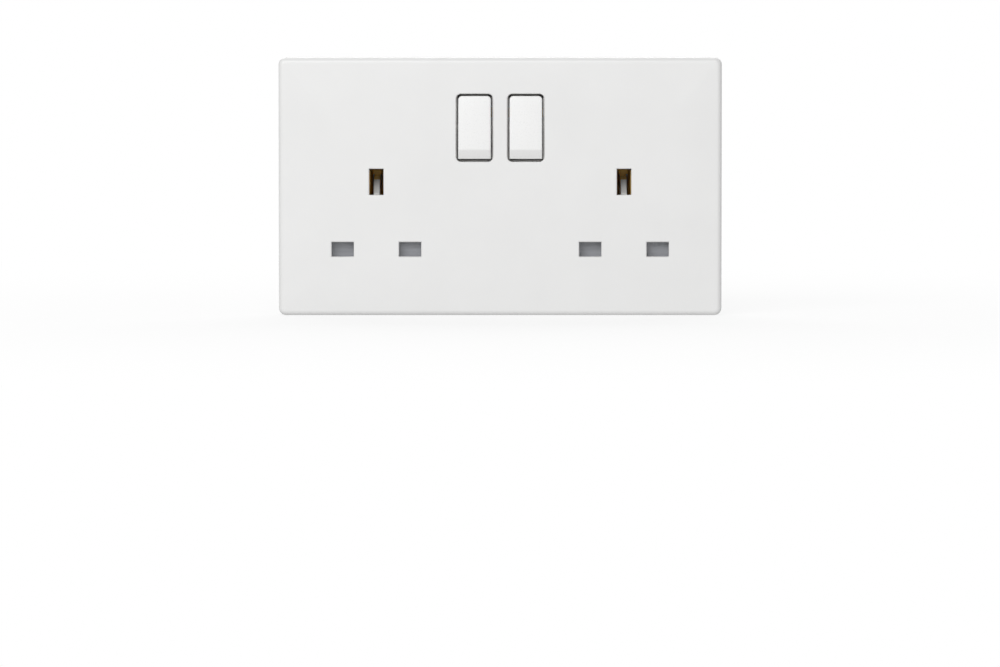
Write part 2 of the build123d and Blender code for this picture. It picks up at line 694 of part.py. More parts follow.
def terminal_pocket(place):
    """Room for a terminal, its screw and its wire, cut out of a tower."""
    half = TERMINAL_W / 2 + SEAT_GAP
    front = TERMINAL_FRONT - TERMINAL_W
    room = block(
        -half,
        half,
        front,
        TERMINAL_REAR + SLIDE_GAP,
        TERMINAL_BOTTOM - SLIDE_GAP,
        TERMINAL_TOP + SLIDE_GAP,
    )
    screw = Pos(0, 0, SCREW_HEAD_TOP) * Cylinder(SCREW_HOLE_R, SCREW_HEAD_TOP)
    round_part = Pos(0, -ENTRY_H / 2 + ENTRY_W / 2) * Circle(ENTRY_W / 2)
    flat_h = ENTRY_H - ENTRY_W / 2
    entry = round_part + Pos(0, ENTRY_H / 2 - flat_h / 2) * Rectangle(ENTRY_W, flat_h)
    wire = prism(entry, TERMINAL_REAR, 2 * TERMINAL_REAR + ENTRY_H)
    return place * (room + screw + wire)


def rear_housing():
    """Moulded rear casing: a waisted tray with plateaus, towers and inner seats."""
    outline = housing_outline()
    body = prism(outline, INNER_BACK_Y, TRAY_Y)
    body = chamfer(body.faces().sort_by(Axis.Y)[-1].edges(), TRAY_EDGE)
    # plateaus, the upper one run down level into the lower one, and towers
    body += plateau(-UPPER_HALF_W, UPPER_HALF_W, EAR_Z, UPPER_TOP_Z, UPPER_Y, UPPER_FLARE)
    run_top = EAR_Z + BLOCK_EDGE
    body += block(LOWER_LEFT_X, LOWER_RIGHT_X, TRAY_EDGE, UPPER_Y, EARTH_Z, run_top)
    low = LOWER_BOTTOM_Z
    body += plateau(LOWER_LEFT_X, LOWER_RIGHT_X, low, STEP_Z, LOWER_Y, LOWER_FLARE)
    body += plateau(FOOT_LEFT_X, FOOT_RIGHT_X, low, FOOT_TOP_Z, LOWER_Y, LOWER_FLARE)
    low = EARTH_BLOCK_BOTTOM_Z
    high = UPPER_FOLD_Z - TOWER_DROP + HOUSING_WALL
    half = EARTH_BLOCK_W / 2
    for x in (EARTH_TOWER_X, LINE_TOWER_X):
        body += tower(x, UPPER_FOLD_Z)
        body += plateau(x - half, x + half, low, high, EARTH_BLOCK_Y, TOWER_FLARE)
    body += tower(NEUTRAL_TOWER_X, LOWER_FOLD_Z)
    border = Rectangle(PANEL_W, PANEL_H)
    border -= Rectangle(PANEL_W - 2 * PANEL_LINE, PANEL_H - 2 * PANEL_LINE)
    body += prism(Pos(0, PANEL_Z) * border, LOWER_Y, LOWER_Y + PANEL_PROUD)
    body -= housing_cavity(outline)
    for place in TERMINALS.values():
        body -= terminal_pocket(place)
    body += housing_seats()
    # keys that drop into the notches of the frame's collar
    key_y = COLLAR_H + SEAT_GAP
    for x in (-KEY_X, KEY_X):
        for z, side in ((HOUSING_TOP_Z, 1), (HOUSING_BOTTOM_Z, -1)):
            root = z - side * HOUSING_WALL / 2
            tip = z + side * KEY_PROUD
            body += block(x - KEY_W / 2, x + KEY_W / 2, FRAME_FRONT_Y, key_y, root, tip)
    # notch for the strap to the frame
    half = STRAP_W / 2 + SEAT_GAP
    strap_y = INNER_BACK_Y + INNER_SKIRT_T + STRAP_T + SEAT_GAP
    return body - block(
        STRAP_X - half, STRAP_X + half, INNER_BACK_Y, strap_y, UPPER_TOP_Z, HOUSING_TOP_Z
    )


def housing_cavity(outline):
    """Space inside the casing, one wall in from its outside."""
    wall = HOUSING_WALL
    room = prism(offset(outline, -wall), INNER_BACK_Y, TRAY_Y - wall)
    half = UPPER_HALF_W - wall
    room += block(-half, half, 0, UPPER_FLOOR_Y, EAR_Z + wall, UPPER_TOP_Z - wall)
    low = LOWER_BOTTOM_Z + wall
    left = LOWER_LEFT_X + wall
    right = LOWER_RIGHT_X - wall
    room += block(left, right, 0, UPPER_FLOOR_Y, low, EAR_Z + wall)
    room += block(left, right, 0, LOWER_FLOOR_Y, low, STEP_Z - wall)
    room += block(
        FOOT_LEFT_X + wall, FOOT_RIGHT_X - wall, 0, LOWER_FLOOR_Y, low, FOOT_TOP_Z - wall
    )
    half = EARTH_MOUTH_GAP / 2 + STRIP_T + SEAT_GAP
    bottom = EARTH_LEAF_BOTTOM - STRIP_T - SEAT_GAP
    top = EARTH_Z + EARTH_PIN_H / 2 + STRIP_T
    for x in OUTLETS.values():
        room += block(x - half, x + half, 0, EARTH_BASE_Y + STRIP_T, bottom, top)
    return room


def housing_seats():
    """Pads under the pin clips and strips, and guides behind the shutters."""
    seats = []
    pad_half = CLIP_W / 2 - SEAT_GAP
    pad_y = CLIP_BASE_Y + STRIP_T
    guide_half = GUIDE_T / 2
    guide_y = SHUTTER_BACK_Y + SLIDE_GAP
    # seats end inside the floor that they stand on
    root_y = LOWER_FLOOR_Y + HOUSING_WALL / 2
    z0 = LIVE_Z - CLIP_H / 2
    z1 = SHUTTER_TOP
    for outlet_x in OUTLETS.values():
        for x in live_pins(outlet_x):
            seats.append(block(x - pad_half, x + pad_half, pad_y, root_y, z0, z1))
        for x in (outlet_x - GUIDE_X, outlet_x + GUIDE_X):
            seats.append(block(x - guide_half, x + guide_half, guide_y, root_y, z0, z1))
    half = ARM_W / 2 - SEAT_GAP
    support_y = ARM_SUPPORT_Y + STRIP_T
    root_y = UPPER_FLOOR_Y + HOUSING_WALL / 2
    for x in ROCKERS.values():
        seats.append(block(x - half, x + half, support_y, root_y, STEP_Z, ROCKER_Z))
    return seats


def rocker():
    """Rocker about its pivot: sloped lower end, hollow back, stem and trunnions."""
    profile = [
        (ROCKER_FACE, ROCKER_TOP),
        (ROCKER_FACE, ROCKER_FACET_START),
        (ROCKER_FACET_Y, ROCKER_BOTTOM),
        (ROCKER_SKIRT, ROCKER_BOTTOM + ROCKER_WALL / 2),
        (ROCKER_SKIRT, ROCKER_TOP),
    ]
    half = ROCKER_W / 2
    body = side_prism(profile, -half, half)
    body = fillet(body.edges().filter_by(Axis.Y), ROCKER_CORNER_R)
    face, facet = body.faces().sort_by(Axis.Y)[:2]
    # the facet's first edge is the one that it shares with the face
    body = fillet(face.edges() + facet.edges().sort_by(Axis.Y)[1:], ROCKER_EDGE_R)
    wall = ROCKER_WALL
    body -= block(
        -half + wall,
        half - wall,
        ROCKER_FACE + wall,
        ROCKER_SKIRT,
        ROCKER_FACET_START,
        ROCKER_TOP - wall,
    )
    body += inward(STEM_R, ROCKER_FACE + wall, STEM_END)
    body -= inward(PLUNGER_R + RUNNING_GAP, STEM_BORE_START, STEM_END)
    reach = half + TRUNNION_L
    body += across(TRUNNION_R, half - wall, reach)
    body += across(TRUNNION_R, -reach, wall - half)
    return body


def plunger():
    """Cone-nosed plunger in the rocker's stem."""
    rod = inward(PLUNGER_R, PLUNGER_START, PLUNGER_TIP)
    return chamfer(rod.faces().sort_by(Axis.Y)[-1].edges(), PLUNGER_NOSE)


def plunger_spring():
    """Spring between the stem's floor and the plunger."""
    length = PLUNGER_START - STEM_BORE_START
    radius = PLUNGER_R - SPRING_WIRE_R - RUNNING_GAP
    return Pos(0, STEM_BORE_START, 0) * Rot(-90, 0, 0) * coil(radius, length, SPRING_TURNS)


def switch_arm():
    """See-saw arm about its pivot, with the half-round ridge that it rocks on."""
    plate = block(-ARM_W / 2, ARM_W / 2, -ARM_FRONT, ARM_BACK, -ARM_TAIL, ARM_HEAD)
    return plate + across(ARM_RIDGE_R, -ARM_W / 2, ARM_W / 2)


def moving_contact():
    """Contact tip on the back of the arm's upper end."""
    return inward(CONTACT_R, ARM_BACK, ARM_BACK + MOVING_CONTACT_T, z=CONTACT_Z)


def fixed_contact(x):
    """Contact tip on the front of the line bar."""
    return inward(CONTACT_R, FIXED_FACE_Y, LINE_BAR_Y, x, CONTACT_ROW_Z)


def shutter(outlet_x):
    """Shutter blade over two slots, with a sprung arm up to the earth pin's wedge."""
    half = PIN_SPACING / 2 + LIVE_SLOT_W / 2 + SHUTTER_COVER
    arm_half = SHUTTER_ARM_W / 2
    slot_half = SHUTTER_SLOT_W / 2
    y0 = SHUTTER_FRONT_Y
    y1 = SHUTTER_BACK_Y
    arm_top = WEDGE_FOOT_Z - SHUTTER_COVER
    body = block(-half, half, y0, y1, SHUTTER_BOTTOM, SHUTTER_TOP)
    body += block(-arm_half, arm_half, y0, y1, SHUTTER_TOP, arm_top)
    body -= block(-slot_half, slot_half, y0, y1, SHUTTER_SLOT_BOTTOM, SHUTTER_SLOT_TOP)
    wedge = [
        (y0, arm_top),
        (y0, WEDGE_FOOT_Z),
        (y0 + WEDGE_L, WEDGE_FOOT_Z + SHUTTER_TRAVEL),
        (y0 + WEDGE_L, WEDGE_FOOT_Z),
        (y1, arm_top),
    ]
    body += side_prism(wedge, -WEDGE_W / 2, WEDGE_W / 2)
    return Pos(outlet_x, 0, 0) * body


def shutter_spring(outlet_x):
    """Spring in the shutter's slot, from the moulding's post up to the slot's end."""
    bottom = SHUTTER_SLOT_BOTTOM + SEAT_GAP + POST_H
    y = (SHUTTER_FRONT_Y + SHUTTER_BACK_Y) / 2
    return Pos(outlet_x, y, bottom) * coil(SHUTTER_SPRING_R, SHUTTER_SLOT_TOP - bottom, SPRING_TURNS)


def pin_clip(x, base_x0, base_x1):
    """Folded clip for a line or neutral pin on a base strip from base_x0 to base_x1."""
    y1 = CLIP_BASE_Y + STRIP_T
    half_h = CLIP_H / 2
    pinch_y = (CLIP_MOUTH_Y + CLIP_BASE_Y) / 2
    clip = block(base_x0, base_x1, CLIP_BASE_Y, y1, LIVE_Z - half_h, LIVE_Z + half_h)
    for side in (-1, 1):
        outer = [
            (y1, half_h),
            (pinch_y, CLIP_GRIP / 2 + STRIP_T),
            (CLIP_MOUTH_Y, half_h),
            (CLIP_MOUTH_Y, half_h - STRIP_T),
            (pinch_y, CLIP_GRIP / 2),
            (y1, half_h - STRIP_T),
        ]
        leaf = [(y, LIVE_Z + side * z) for y, z in outer]
        clip += side_prism(leaf, x - CLIP_W / 2, x + CLIP_W / 2)
    return clip


def neutral_bar():
    """Neutral strip with both pin clips and the tab to its terminal."""
    y1 = CLIP_BASE_Y + STRIP_T
    left_x = live_pins(OUTLETS["left"])[0]
    right_x = live_pins(OUTLETS["right"])[0]
    tab_x = NEUTRAL_TOWER_X + TERMINAL_W / 2
    bar = pin_clip(left_x, left_x - CLIP_W / 2, tab_x + STRIP_T)
    bar += pin_clip(right_x, right_x - CLIP_W / 2, right_x + CLIP_W / 2)
    run_z = LOWER_BOTTOM_Z + HOUSING_WALL + SLIDE_GAP
    run_x0 = left_x - CLIP_W / 2
    run_x1 = right_x + CLIP_W / 2
    bar += block(run_x0, run_x1, CLIP_BASE_Y, y1, run_z, run_z + NEUTRAL_RUN_H)
    for x in (left_x, right_x):
        bar += block(x - CLIP_W / 2, x + CLIP_W / 2, CLIP_BASE_Y, y1, run_z, LIVE_Z)
    place = TERMINALS["neutral"].position
    tab_y = place.Y + TERMINAL_FRONT
    tab_top = place.Z + TERMINAL_TOP
    bar += block(tab_x, tab_x + STRIP_T, tab_y, y1, LIVE_Z + CLIP_H / 2 - STRIP_T, tab_top)
    return bar


def line_bar():
    """Strip from the line terminal along the top to both fixed contacts."""
    tab_x = LINE_TOWER_X - TERMINAL_W / 2
    bar_z1 = CONTACT_ROW_Z + CONTACT_R
    bar_z0 = bar_z1 - LINE_RUN_H
    left = -ROCKER_X - ARM_W / 2
    bar = block(left, tab_x, LINE_BAR_Y, UPPER_FLOOR_Y, bar_z0, bar_z1)
    place = TERMINALS["line"].position
    tab_y = place.Y + TERMINAL_FRONT
    return bar + block(tab_x - STRIP_T, tab_x, tab_y, UPPER_FLOOR_Y, place.Z, bar_z1)


def line_contact(side):
    """Switched strip from under a rocker down to its outlet's line clip."""
    rocker_x = ROCKERS[side]
    clip_x = live_pins(OUTLETS[side])[1]
    inner_edge = clip_x - CLIP_W / 2 - NECK_W + STRIP_T / 2
    y1 = CLIP_BASE_Y + STRIP_T
    strip = pin_clip(clip_x, inner_edge, clip_x + CLIP_W / 2)
    neck_z0 = LIVE_Z + CLIP_H / 2
    run_z1 = neck_z0 + RUN_H
    half = ARM_W / 2
    near = rocker_x - half if clip_x > rocker_x else rocker_x + half
    strip += block(inner_edge, inner_edge + NECK_W, CLIP_BASE_Y, y1, neck_z0 - STRIP_T, run_z1)
    far = inner_edge + NECK_W if clip_x > rocker_x else inner_edge
    strip += block(near, far, CLIP_BASE_Y, y1, neck_z0, run_z1)
    # step forward to the level of the switch, then up to the arm's seat
    support_y = ARM_SUPPORT_Y
    top = ROCKER_Z + ARM_RIDGE_R + STRIP_T
    x0 = rocker_x - half
    x1 = rocker_x + half
    strip += block(x0, x1, support_y, y1, run_z1 - STRIP_T, run_z1)
    strip += block(x0, x1, support_y, support_y + STRIP_T, run_z1 - STRIP_T, top)
    # ears that keep the arm from sliding sideways
    ear_in = half + SEAT_GAP
    ear_out = ear_in + STRIP_T
    low = ROCKER_Z - ARM_RIDGE_R - STRIP_T
    back_y = support_y + STRIP_T
    strip += block(rocker_x - ear_out, rocker_x + ear_out, support_y, back_y, low, top)
    for sign in (-1, 1):
        near_x = rocker_x + sign * ear_in
        far_x = rocker_x + sign * ear_out
        strip += block(near_x, far_x, ARM_PIVOT_Y - ARM_RIDGE_R, support_y, low, top)
    return strip


def earth_bar():
    """Earth strip with both earth pin clips and the riser to its terminal."""
    run_z = EARTH_LEAF_BOTTOM - STRIP_T
    end = OUTLET_X + EARTH_LEAF_GAP / 2 + STRIP_T
    bar = block(-end, end, LOWER_FLOOR_Y - EARTH_RUN_W, LOWER_FLOOR_Y, run_z, EARTH_LEAF_BOTTOM)
    for x in OUTLETS.values():
        bar += earth_clip(x, run_z)
    tab_x = EARTH_TOWER_X + TERMINAL_W / 2
    place = TERMINALS["earth"].position
    tab_y = place.Y + TERMINAL_FRONT
    tab_z = place.Z + TERMINAL_TOP
    bar += block(tab_x, tab_x + STRIP_T, tab_y, LOWER_FLOOR_Y, run_z, EARTH_Z)
    return bar + block(tab_x, tab_x + STRIP_T, tab_y, UPPER_FLOOR_Y, EARTH_Z, tab_z)


def earth_clip(x, low):
    """Clip for an earth pin: two pinched leaves on a web with a bar across its top."""
    back_y = EARTH_BASE_Y + STRIP_T
    pinch_y = EARTH_LEAF_FRONT_Y + EARTH_PINCH_L
    inside = [
        (EARTH_MOUTH_GAP / 2, EARTH_LEAF_FRONT_Y),
        (EARTH_PINCH_GAP / 2, pinch_y),
        (EARTH_LEAF_GAP / 2, EARTH_BASE_Y),
        (EARTH_LEAF_GAP / 2, back_y),
    ]
    outside = [(gap + STRIP_T, y) for gap, y in reversed(inside)]
    clip = block(x - EARTH_WEB_W / 2, x + EARTH_WEB_W / 2, EARTH_BASE_Y, back_y, low, EARTH_LEAF_TOP)
    half = EARTH_LEAF_GAP / 2 + STRIP_T
    for z in (low, EARTH_LEAF_TOP - EARTH_WEB_BAR):
        clip += block(x - half, x + half, EARTH_BASE_Y, back_y, z, z + EARTH_WEB_BAR)
    for side in (-1, 1):
        points = [(x + side * gap, y) for gap, y in inside + outside]
        leaf = make_face(Polyline(*points, close=True))
        clip += extrude(Plane.XY.offset(low) * leaf, EARTH_LEAF_TOP - low, dir=(0, 0, 1))
    return clip


def earth_strap():
    """Strip from the earth riser forward and up to the frame's front face."""
    foot_x = EARTH_TOWER_X + TERMINAL_W / 2 + STRIP_T
    place = TERMINALS["earth"].position
    level = INNER_BACK_Y + INNER_SKIRT_T
    z0 = place.Z - STRAP_W
    x0 = STRAP_X - STRAP_W / 2
    x1 = STRAP_X + STRAP_W / 2
    frame_z = HOUSING_TOP_Z + COLLAR_GAP
    strap = block(foot_x, foot_x + STRAP_T, level, UPPER_FLOOR_Y - SEAT_GAP, z0, place.Z)
    strap += block(foot_x, x1, level, level + STRAP_T, z0, place.Z)
    top = frame_z + COLLAR_T + STRAP_T
    strap += block(x0, x1, level, level + STRAP_T, z0, top)
    strap += block(x0, x1, level, FRAME_FRONT_Y, top - STRAP_T, top)
    return strap + block(x0, x1, FRAME_FRONT_Y - STRAP_T, FRAME_FRONT_Y, frame_z, top)


def terminal():
    """Brass tunnel in its own frame: round-bottomed wire bore and a hole for its screw."""
    height = TERMINAL_TOP - TERMINAL_BOTTOM
    section = Pos(0, (TERMINAL_TOP + TERMINAL_BOTTOM) / 2) * Rectangle(TERMINAL_W, height)
    section = fillet(section.vertices().sort_by(Axis.Y)[:2], TERMINAL_EDGE_R)
    flat = BORE_TOP - BORE_CENTRE
    section -= Pos(0, BORE_CENTRE) * Circle(BORE_R)
    section -= Pos(0, BORE_CENTRE + flat / 2) * Rectangle(2 * BORE_R, flat)
    body = prism(section, TERMINAL_FRONT, TERMINAL_REAR)
    hole_l = 2 * (TERMINAL_TOP - BORE_CENTRE)
    return body - Pos(0, 0, TERMINAL_TOP) * Cylinder(SCREW_R + RUNNING_GAP, hole_l)


def terminal_screw():
    """Slotted screw in the terminal's frame, backed out of the bore."""
    shank_l = SCREW_HEAD_BOTTOM - SCREW_TIP
    head_l = SCREW_HEAD_TOP - SCREW_HEAD_BOTTOM
    screw = Pos(0, 0, SCREW_TIP + shank_l / 2) * Cylinder(SCREW_R, shank_l)
    screw += Pos(0, 0, SCREW_HEAD_BOTTOM + head_l / 2) * Cylinder(SCREW_HEAD_R, head_l)
    half = SCREW_SLOT_W / 2
    low = SCREW_HEAD_TOP - SCREW_SLOT_DEPTH
    return screw - block(-SCREW_HEAD_R, SCREW_HEAD_R, -half, half, low, SCREW_HEAD_TOP)


def all_pieces():
    """Every piece of the socket by name, in its place with both switches off."""
    pieces = {
        "front_plate": front_plate(),
        "mounting_frame": mounting_frame(),
        "inner_front": inner_front(),
        "rear_housing": rear_housing(),
        "neutral_bar": neutral_bar(),
        "line_bar": line_bar(),
        "earth_bar": earth_bar(),
        "earth_strap": earth_strap(),
    }
    for side, x in ROCKERS.items():
        off = Location((x, ROCKER_PIVOT_Y, ROCKER_Z), (-ROCKER_TILT, 0, 0))
        arm_off = Location((x, ARM_PIVOT_Y, ROCKER_Z), (ROCKER_TILT, 0, 0))
        pieces[f"rocker_{side}"] = off * rocker()
        pieces[f"rocker_plunger_{side}"] = off * plunger()
        pieces[f"rocker_spring_{side}"] = off * plunger_spring()
        pieces[f"switch_arm_{side}"] = arm_off * switch_arm()
        pieces[f"moving_contact_{side}"] = arm_off * moving_contact()
        pieces[f"fixed_contact_{side}"] = fixed_contact(x)
        pieces[f"line_contact_{side}"] = line_contact(side)
    for side, x in OUTLETS.items():
        pieces[f"shutter_{side}"] = shutter(x)
        pieces[f"shutter_spring_{side}"] = shutter_spring(x)
    for name, place in TERMINALS.items():
        pieces[f"{name}_terminal"] = place * terminal()
        pieces[f"{name}_terminal_screw"] = place * terminal_screw()
    return pieces


os.makedirs("parts", exist_ok=True)
for node, piece in all_pieces().items():
    export_step(piece, f"parts/{node}.step")
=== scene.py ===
"""Two-gang switched wall socket: finishes, coil springs, screws, contacts and studio.

Lengths are in metres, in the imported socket's frame: x to the right, y to the rear and z up.
"""

import json
import logging
import math
from abc import ABC, abstractmethod
from dataclasses import dataclass
from enum import Enum

import bpy
import numpy as np
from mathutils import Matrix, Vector

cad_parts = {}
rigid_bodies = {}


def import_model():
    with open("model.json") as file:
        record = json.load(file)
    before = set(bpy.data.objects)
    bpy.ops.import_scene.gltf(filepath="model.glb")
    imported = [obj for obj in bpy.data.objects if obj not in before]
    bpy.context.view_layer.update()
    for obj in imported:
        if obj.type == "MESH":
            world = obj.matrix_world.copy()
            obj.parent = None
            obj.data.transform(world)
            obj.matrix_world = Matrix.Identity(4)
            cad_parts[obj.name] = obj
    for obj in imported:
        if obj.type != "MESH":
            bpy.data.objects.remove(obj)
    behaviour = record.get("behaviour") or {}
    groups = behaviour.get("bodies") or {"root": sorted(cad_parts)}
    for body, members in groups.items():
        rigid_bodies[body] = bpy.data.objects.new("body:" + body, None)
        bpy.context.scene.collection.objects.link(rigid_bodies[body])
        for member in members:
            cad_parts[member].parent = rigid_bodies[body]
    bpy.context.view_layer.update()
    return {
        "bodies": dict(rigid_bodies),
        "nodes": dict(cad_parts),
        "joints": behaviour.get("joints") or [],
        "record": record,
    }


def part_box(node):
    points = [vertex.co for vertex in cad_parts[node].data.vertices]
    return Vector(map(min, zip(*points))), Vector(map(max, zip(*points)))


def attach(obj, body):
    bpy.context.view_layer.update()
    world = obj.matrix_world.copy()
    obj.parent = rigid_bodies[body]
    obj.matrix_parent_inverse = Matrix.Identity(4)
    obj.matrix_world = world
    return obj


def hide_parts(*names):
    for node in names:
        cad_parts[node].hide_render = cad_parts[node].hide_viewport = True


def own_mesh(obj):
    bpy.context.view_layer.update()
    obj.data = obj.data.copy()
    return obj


log = logging.getLogger("socket")

MM = 0.001
MICRON = 0.000001
SIDES = ("left", "right")
POLES = ("line", "neutral", "earth")

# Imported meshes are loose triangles: how close points become one, and which turns are flat or sharp.
MERGE_DISTANCE = 0.002 * MM
FLAT_ANGLE = math.radians(1.0)
SHARP_ANGLE = math.radians(28.0)
SMOOTHING = "smooth_round_faces"

# Usual lowest and highest value of a noise, which stays well inside 0 and 1.
NOISE_RANGE = (0.3, 0.7)

# Likeness of the rounded and the true normal where an edge starts and where it is sharp.
EDGE_RANGE = (0.99, 0.8)
EDGE_SAMPLES = 6

# Open share of the directions round a point where a corner starts and where it is deep.
CORNER_RANGE = (0.95, 0.6)
CORNER_SAMPLES = 8

# Numbers of a Mix node's colour sockets, whose names its other sockets have too.
MIX_FIRST = 6
MIX_SECOND = 7
MIX_RESULT = 2

# An axis that lies this much along x takes its side direction from z.
ALONG_X_SHARE = 0.9

Colour = tuple[float, float, float]
Node = bpy.types.Node
Output = bpy.types.NodeSocket


class Slot(Enum):
    """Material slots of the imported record."""

    COVER = "cover_white"
    INNER = "inner_white"
    HOUSING = "housing_white"
    ROCKER = "rocker_white"
    PLUNGER = "plunger_white"
    SHUTTER = "shutter_grey"
    FRAME = "frame_steel"
    STRIP = "strip_brass"
    TERMINAL = "terminal_brass"
    SCREW = "screw_brass"
    CONTACT = "contact_silver"
    SPRING = "spring_steel"


class Lie(Enum):
    """The way in which a finish is drawn out along a piece, as scale factors of its pattern."""

    EVEN = (1.0, 1.0, 1.0)
    ALONG_X = (0.06, 1.0, 1.0)


class Fade(Enum):
    """How a value passes from one end of its range to the other."""

    STRAIGHT = "LINEAR"
    SOFT = "SMOOTHSTEP"


class NodeSheet:
    """A node tree, with short calls to add and join its nodes."""

    def __init__(self, tree: bpy.types.NodeTree) -> None:
        """Take over a tree and empty it.

        Args:
            tree: node tree of a material, a world or a modifier.
        """
        self.tree = tree
        self.tree.nodes.clear()

    def add(self, kind: str, inputs: dict | None = None, **settings: object) -> Node:
        """Add a node, set its properties and then its inputs.

        Args:
            kind: Blender's name of the node type.
            inputs: names or numbers of inputs, and their values.
            settings: properties of the node and their values.

        Returns:
            The new node.
        """
        node = self.tree.nodes.new(kind)
        for key, value in settings.items():
            setattr(node, key, value)
        for key, value in (inputs or {}).items():
            node.inputs[key].default_value = value
        return node

    def join(self, source: Output, node: Node, into: str | int) -> None:
        """Link an output to one of a node's inputs."""
        self.tree.links.new(source, node.inputs[into])

    def ramp(self, value: Output, stops: list[tuple[float, Colour]]) -> Output:
        """Colours along a value.

        Args:
            value: output that is coloured.
            stops: positions from 0 to 1 and their colours, two or more, in order.

        Returns:
            The colour.
        """
        node = self.add("ShaderNodeValToRGB")
        elements = node.color_ramp.elements
        while len(elements) < len(stops):
            elements.new(1.0)
        for element, (position, colour) in zip(elements, stops):
            element.position = position
            element.color = (*colour, 1.0)
        self.join(value, node, "Fac")
        return node.outputs["Color"]

    def stretch(
        self,
        value: Output,
        source: tuple[float, float],
        target: tuple[float, float] = (0.0, 1.0),
        fade: Fade = Fade.STRAIGHT,
    ) -> Output:
        """A value carried from one range to another and held at the ends.

        Args:
            value: output that is carried over.
            source: its first and last value.
            target: the results for them.
            fade: how it passes between them.

        Returns:
            The result.
        """
        inputs = dict(zip(("From Min", "From Max", "To Min", "To Max"), source + target))
        node = self.add("ShaderNodeMapRange", inputs, interpolation_type=fade.value)
        self.join(value, node, "Value")
        return node.outputs["Result"]


class MaterialSheet(NodeSheet):
    """A material's node tree, which holds a shader, its output and Object coordinates."""

    def __init__(self, name: str) -> None:
        """Start a material.

        Args:
            name: the material's name.
        """
        self.material = bpy.data.materials.new(name)
        self.material.use_nodes = True
        super().__init__(self.material.node_tree)
        self.output = self.add("ShaderNodeOutputMaterial")
        self.shader = self.add("ShaderNodeBsdfPrincipled")
        self.join(self.shader.outputs["BSDF"], self.output, "Surface")
        self.place = self.add("ShaderNodeTexCoord").outputs["Object"]

    def noise(self, lie: Lie, period: float, detail: float) -> Output:
        """Noise with features of a given size.

        Args:
            lie: the direction in which the noise is drawn out.
            period: size of a feature in metres.
            detail: octaves of finer noise.

        Returns:
            The noise.
        """
        mapping = self.add("ShaderNodeMapping", {"Scale": lie.value})
        self.join(self.place, mapping, "Vector")
        node = self.add("ShaderNodeTexNoise", {"Scale": 1.0 / period, "Detail": detail})
        self.join(mapping.outputs["Vector"], node, "Vector")
        return node.outputs["Fac"]

    def rounded(self, radius: float) -> Output:
        """Normal of the surface as if its edges were rounded by a radius."""
        node = self.add("ShaderNodeBevel", {"Radius": radius}, samples=EDGE_SAMPLES)
        return node.outputs["Normal"]

    def edges(self, radius: float) -> Output:
        """Nearness to an edge: how far the normal of a rounded edge leaves the face's own normal.

        Args:
            radius: reach of the edge in metres.

        Returns:
            A share that is 0 on flat faces and 1 on a sharp edge.
        """
        likeness = self.add("ShaderNodeVectorMath", operation="DOT_PRODUCT")
        self.join(self.rounded(radius), likeness, 0)
        self.join(self.add("ShaderNodeNewGeometry").outputs["True Normal"], likeness, 1)
        return self.stretch(likeness.outputs["Value"], EDGE_RANGE)

    def hollows(self, reach: float) -> Output:
        """Nearness to an inner corner: how many close directions the piece itself shuts off.

        Args:
            reach: how far the piece is looked for, in metres.

        Returns:
            A share that is 0 on open faces and 1 in a deep corner.
        """
        node = self.add(
            "ShaderNodeAmbientOcclusion", {"Distance": reach}, samples=CORNER_SAMPLES, only_local=True
        )
        return self.stretch(node.outputs["AO"], CORNER_RANGE)

    def paint(self, tone: Output, layers: list[tuple[Output, Colour]]) -> None:
        """Colour the shader with a tone that gives way to other colours by their shares.

        Args:
            tone: the surface's own colour.
            layers: shares that are 1 where another colour shows, with those colours, in order.
        """
        for share, colour in layers:
            mix = self.add("ShaderNodeMix", {MIX_SECOND: (*colour, 1.0)}, data_type="RGBA")
            self.join(share, mix, "Factor")
            self.join(tone, mix, MIX_FIRST)
            tone = mix.outputs[MIX_RESULT]
        self.join(tone, self.shader, "Base Color")

    def bump(self, noise: Output, height: float, soft_edge: float = 0.0) -> None:
        """Raise the surface by a noise and shade its edges as rounded.

        Args:
            noise: the noise.
            height: height of the noise in metres.
            soft_edge: radius of the rounding in metres, or 0 for none.
        """
        node = self.add("ShaderNodeBump", {"Strength": 1.0, "Distance": height})
        if soft_edge:
            self.join(self.rounded(soft_edge), node, "Normal")
        self.join(noise, node, "Height")
        self.join(node.outputs["Normal"], self.shader, "Normal")


@dataclass(frozen=True)
class BoxTint:
    """Other colour of a moulding inside a box, such as painted shade on a cover's back or a lighter
    band on a ramp.
    """

    colour: Colour
    middle: tuple[float, float, float]
    half: tuple[float, float, float]

    def share(self, sheet: MaterialSheet) -> Output:
        """Work out where the box is: the product of one test for each of its directions.

        Args:
            sheet: the material's node tree.

        Returns:
            A share that is 1 inside the box and 0 elsewhere.
        """
        split = sheet.add("ShaderNodeSeparateXYZ")
        sheet.join(sheet.place, split, "Vector")
        share = None
        for axis, middle, half in zip("XYZ", self.middle, self.half):
            test = sheet.add("ShaderNodeMath", {1: middle, 2: half}, operation="COMPARE")
            sheet.join(split.outputs[axis], test, 0)
            if share:
                both = sheet.add("ShaderNodeMath", operation="MULTIPLY")
                sheet.join(share, both, 0)
                sheet.join(test.outputs["Value"], both, 1)
                test = both
            share = test.outputs["Value"]
        return share


@dataclass(frozen=True)
class Finish(ABC):
    """What a piece is made of, as a material that has the name of its slot."""

    slot: Slot
    colour: Colour

    @abstractmethod
    def build(self) -> None:
        """Make the material."""

    def put_on(self, piece: bpy.types.Object) -> None:
        """Make this the piece's only material."""
        piece.data.materials.clear()
        piece.data.materials.append(bpy.data.materials[self.slot.value])


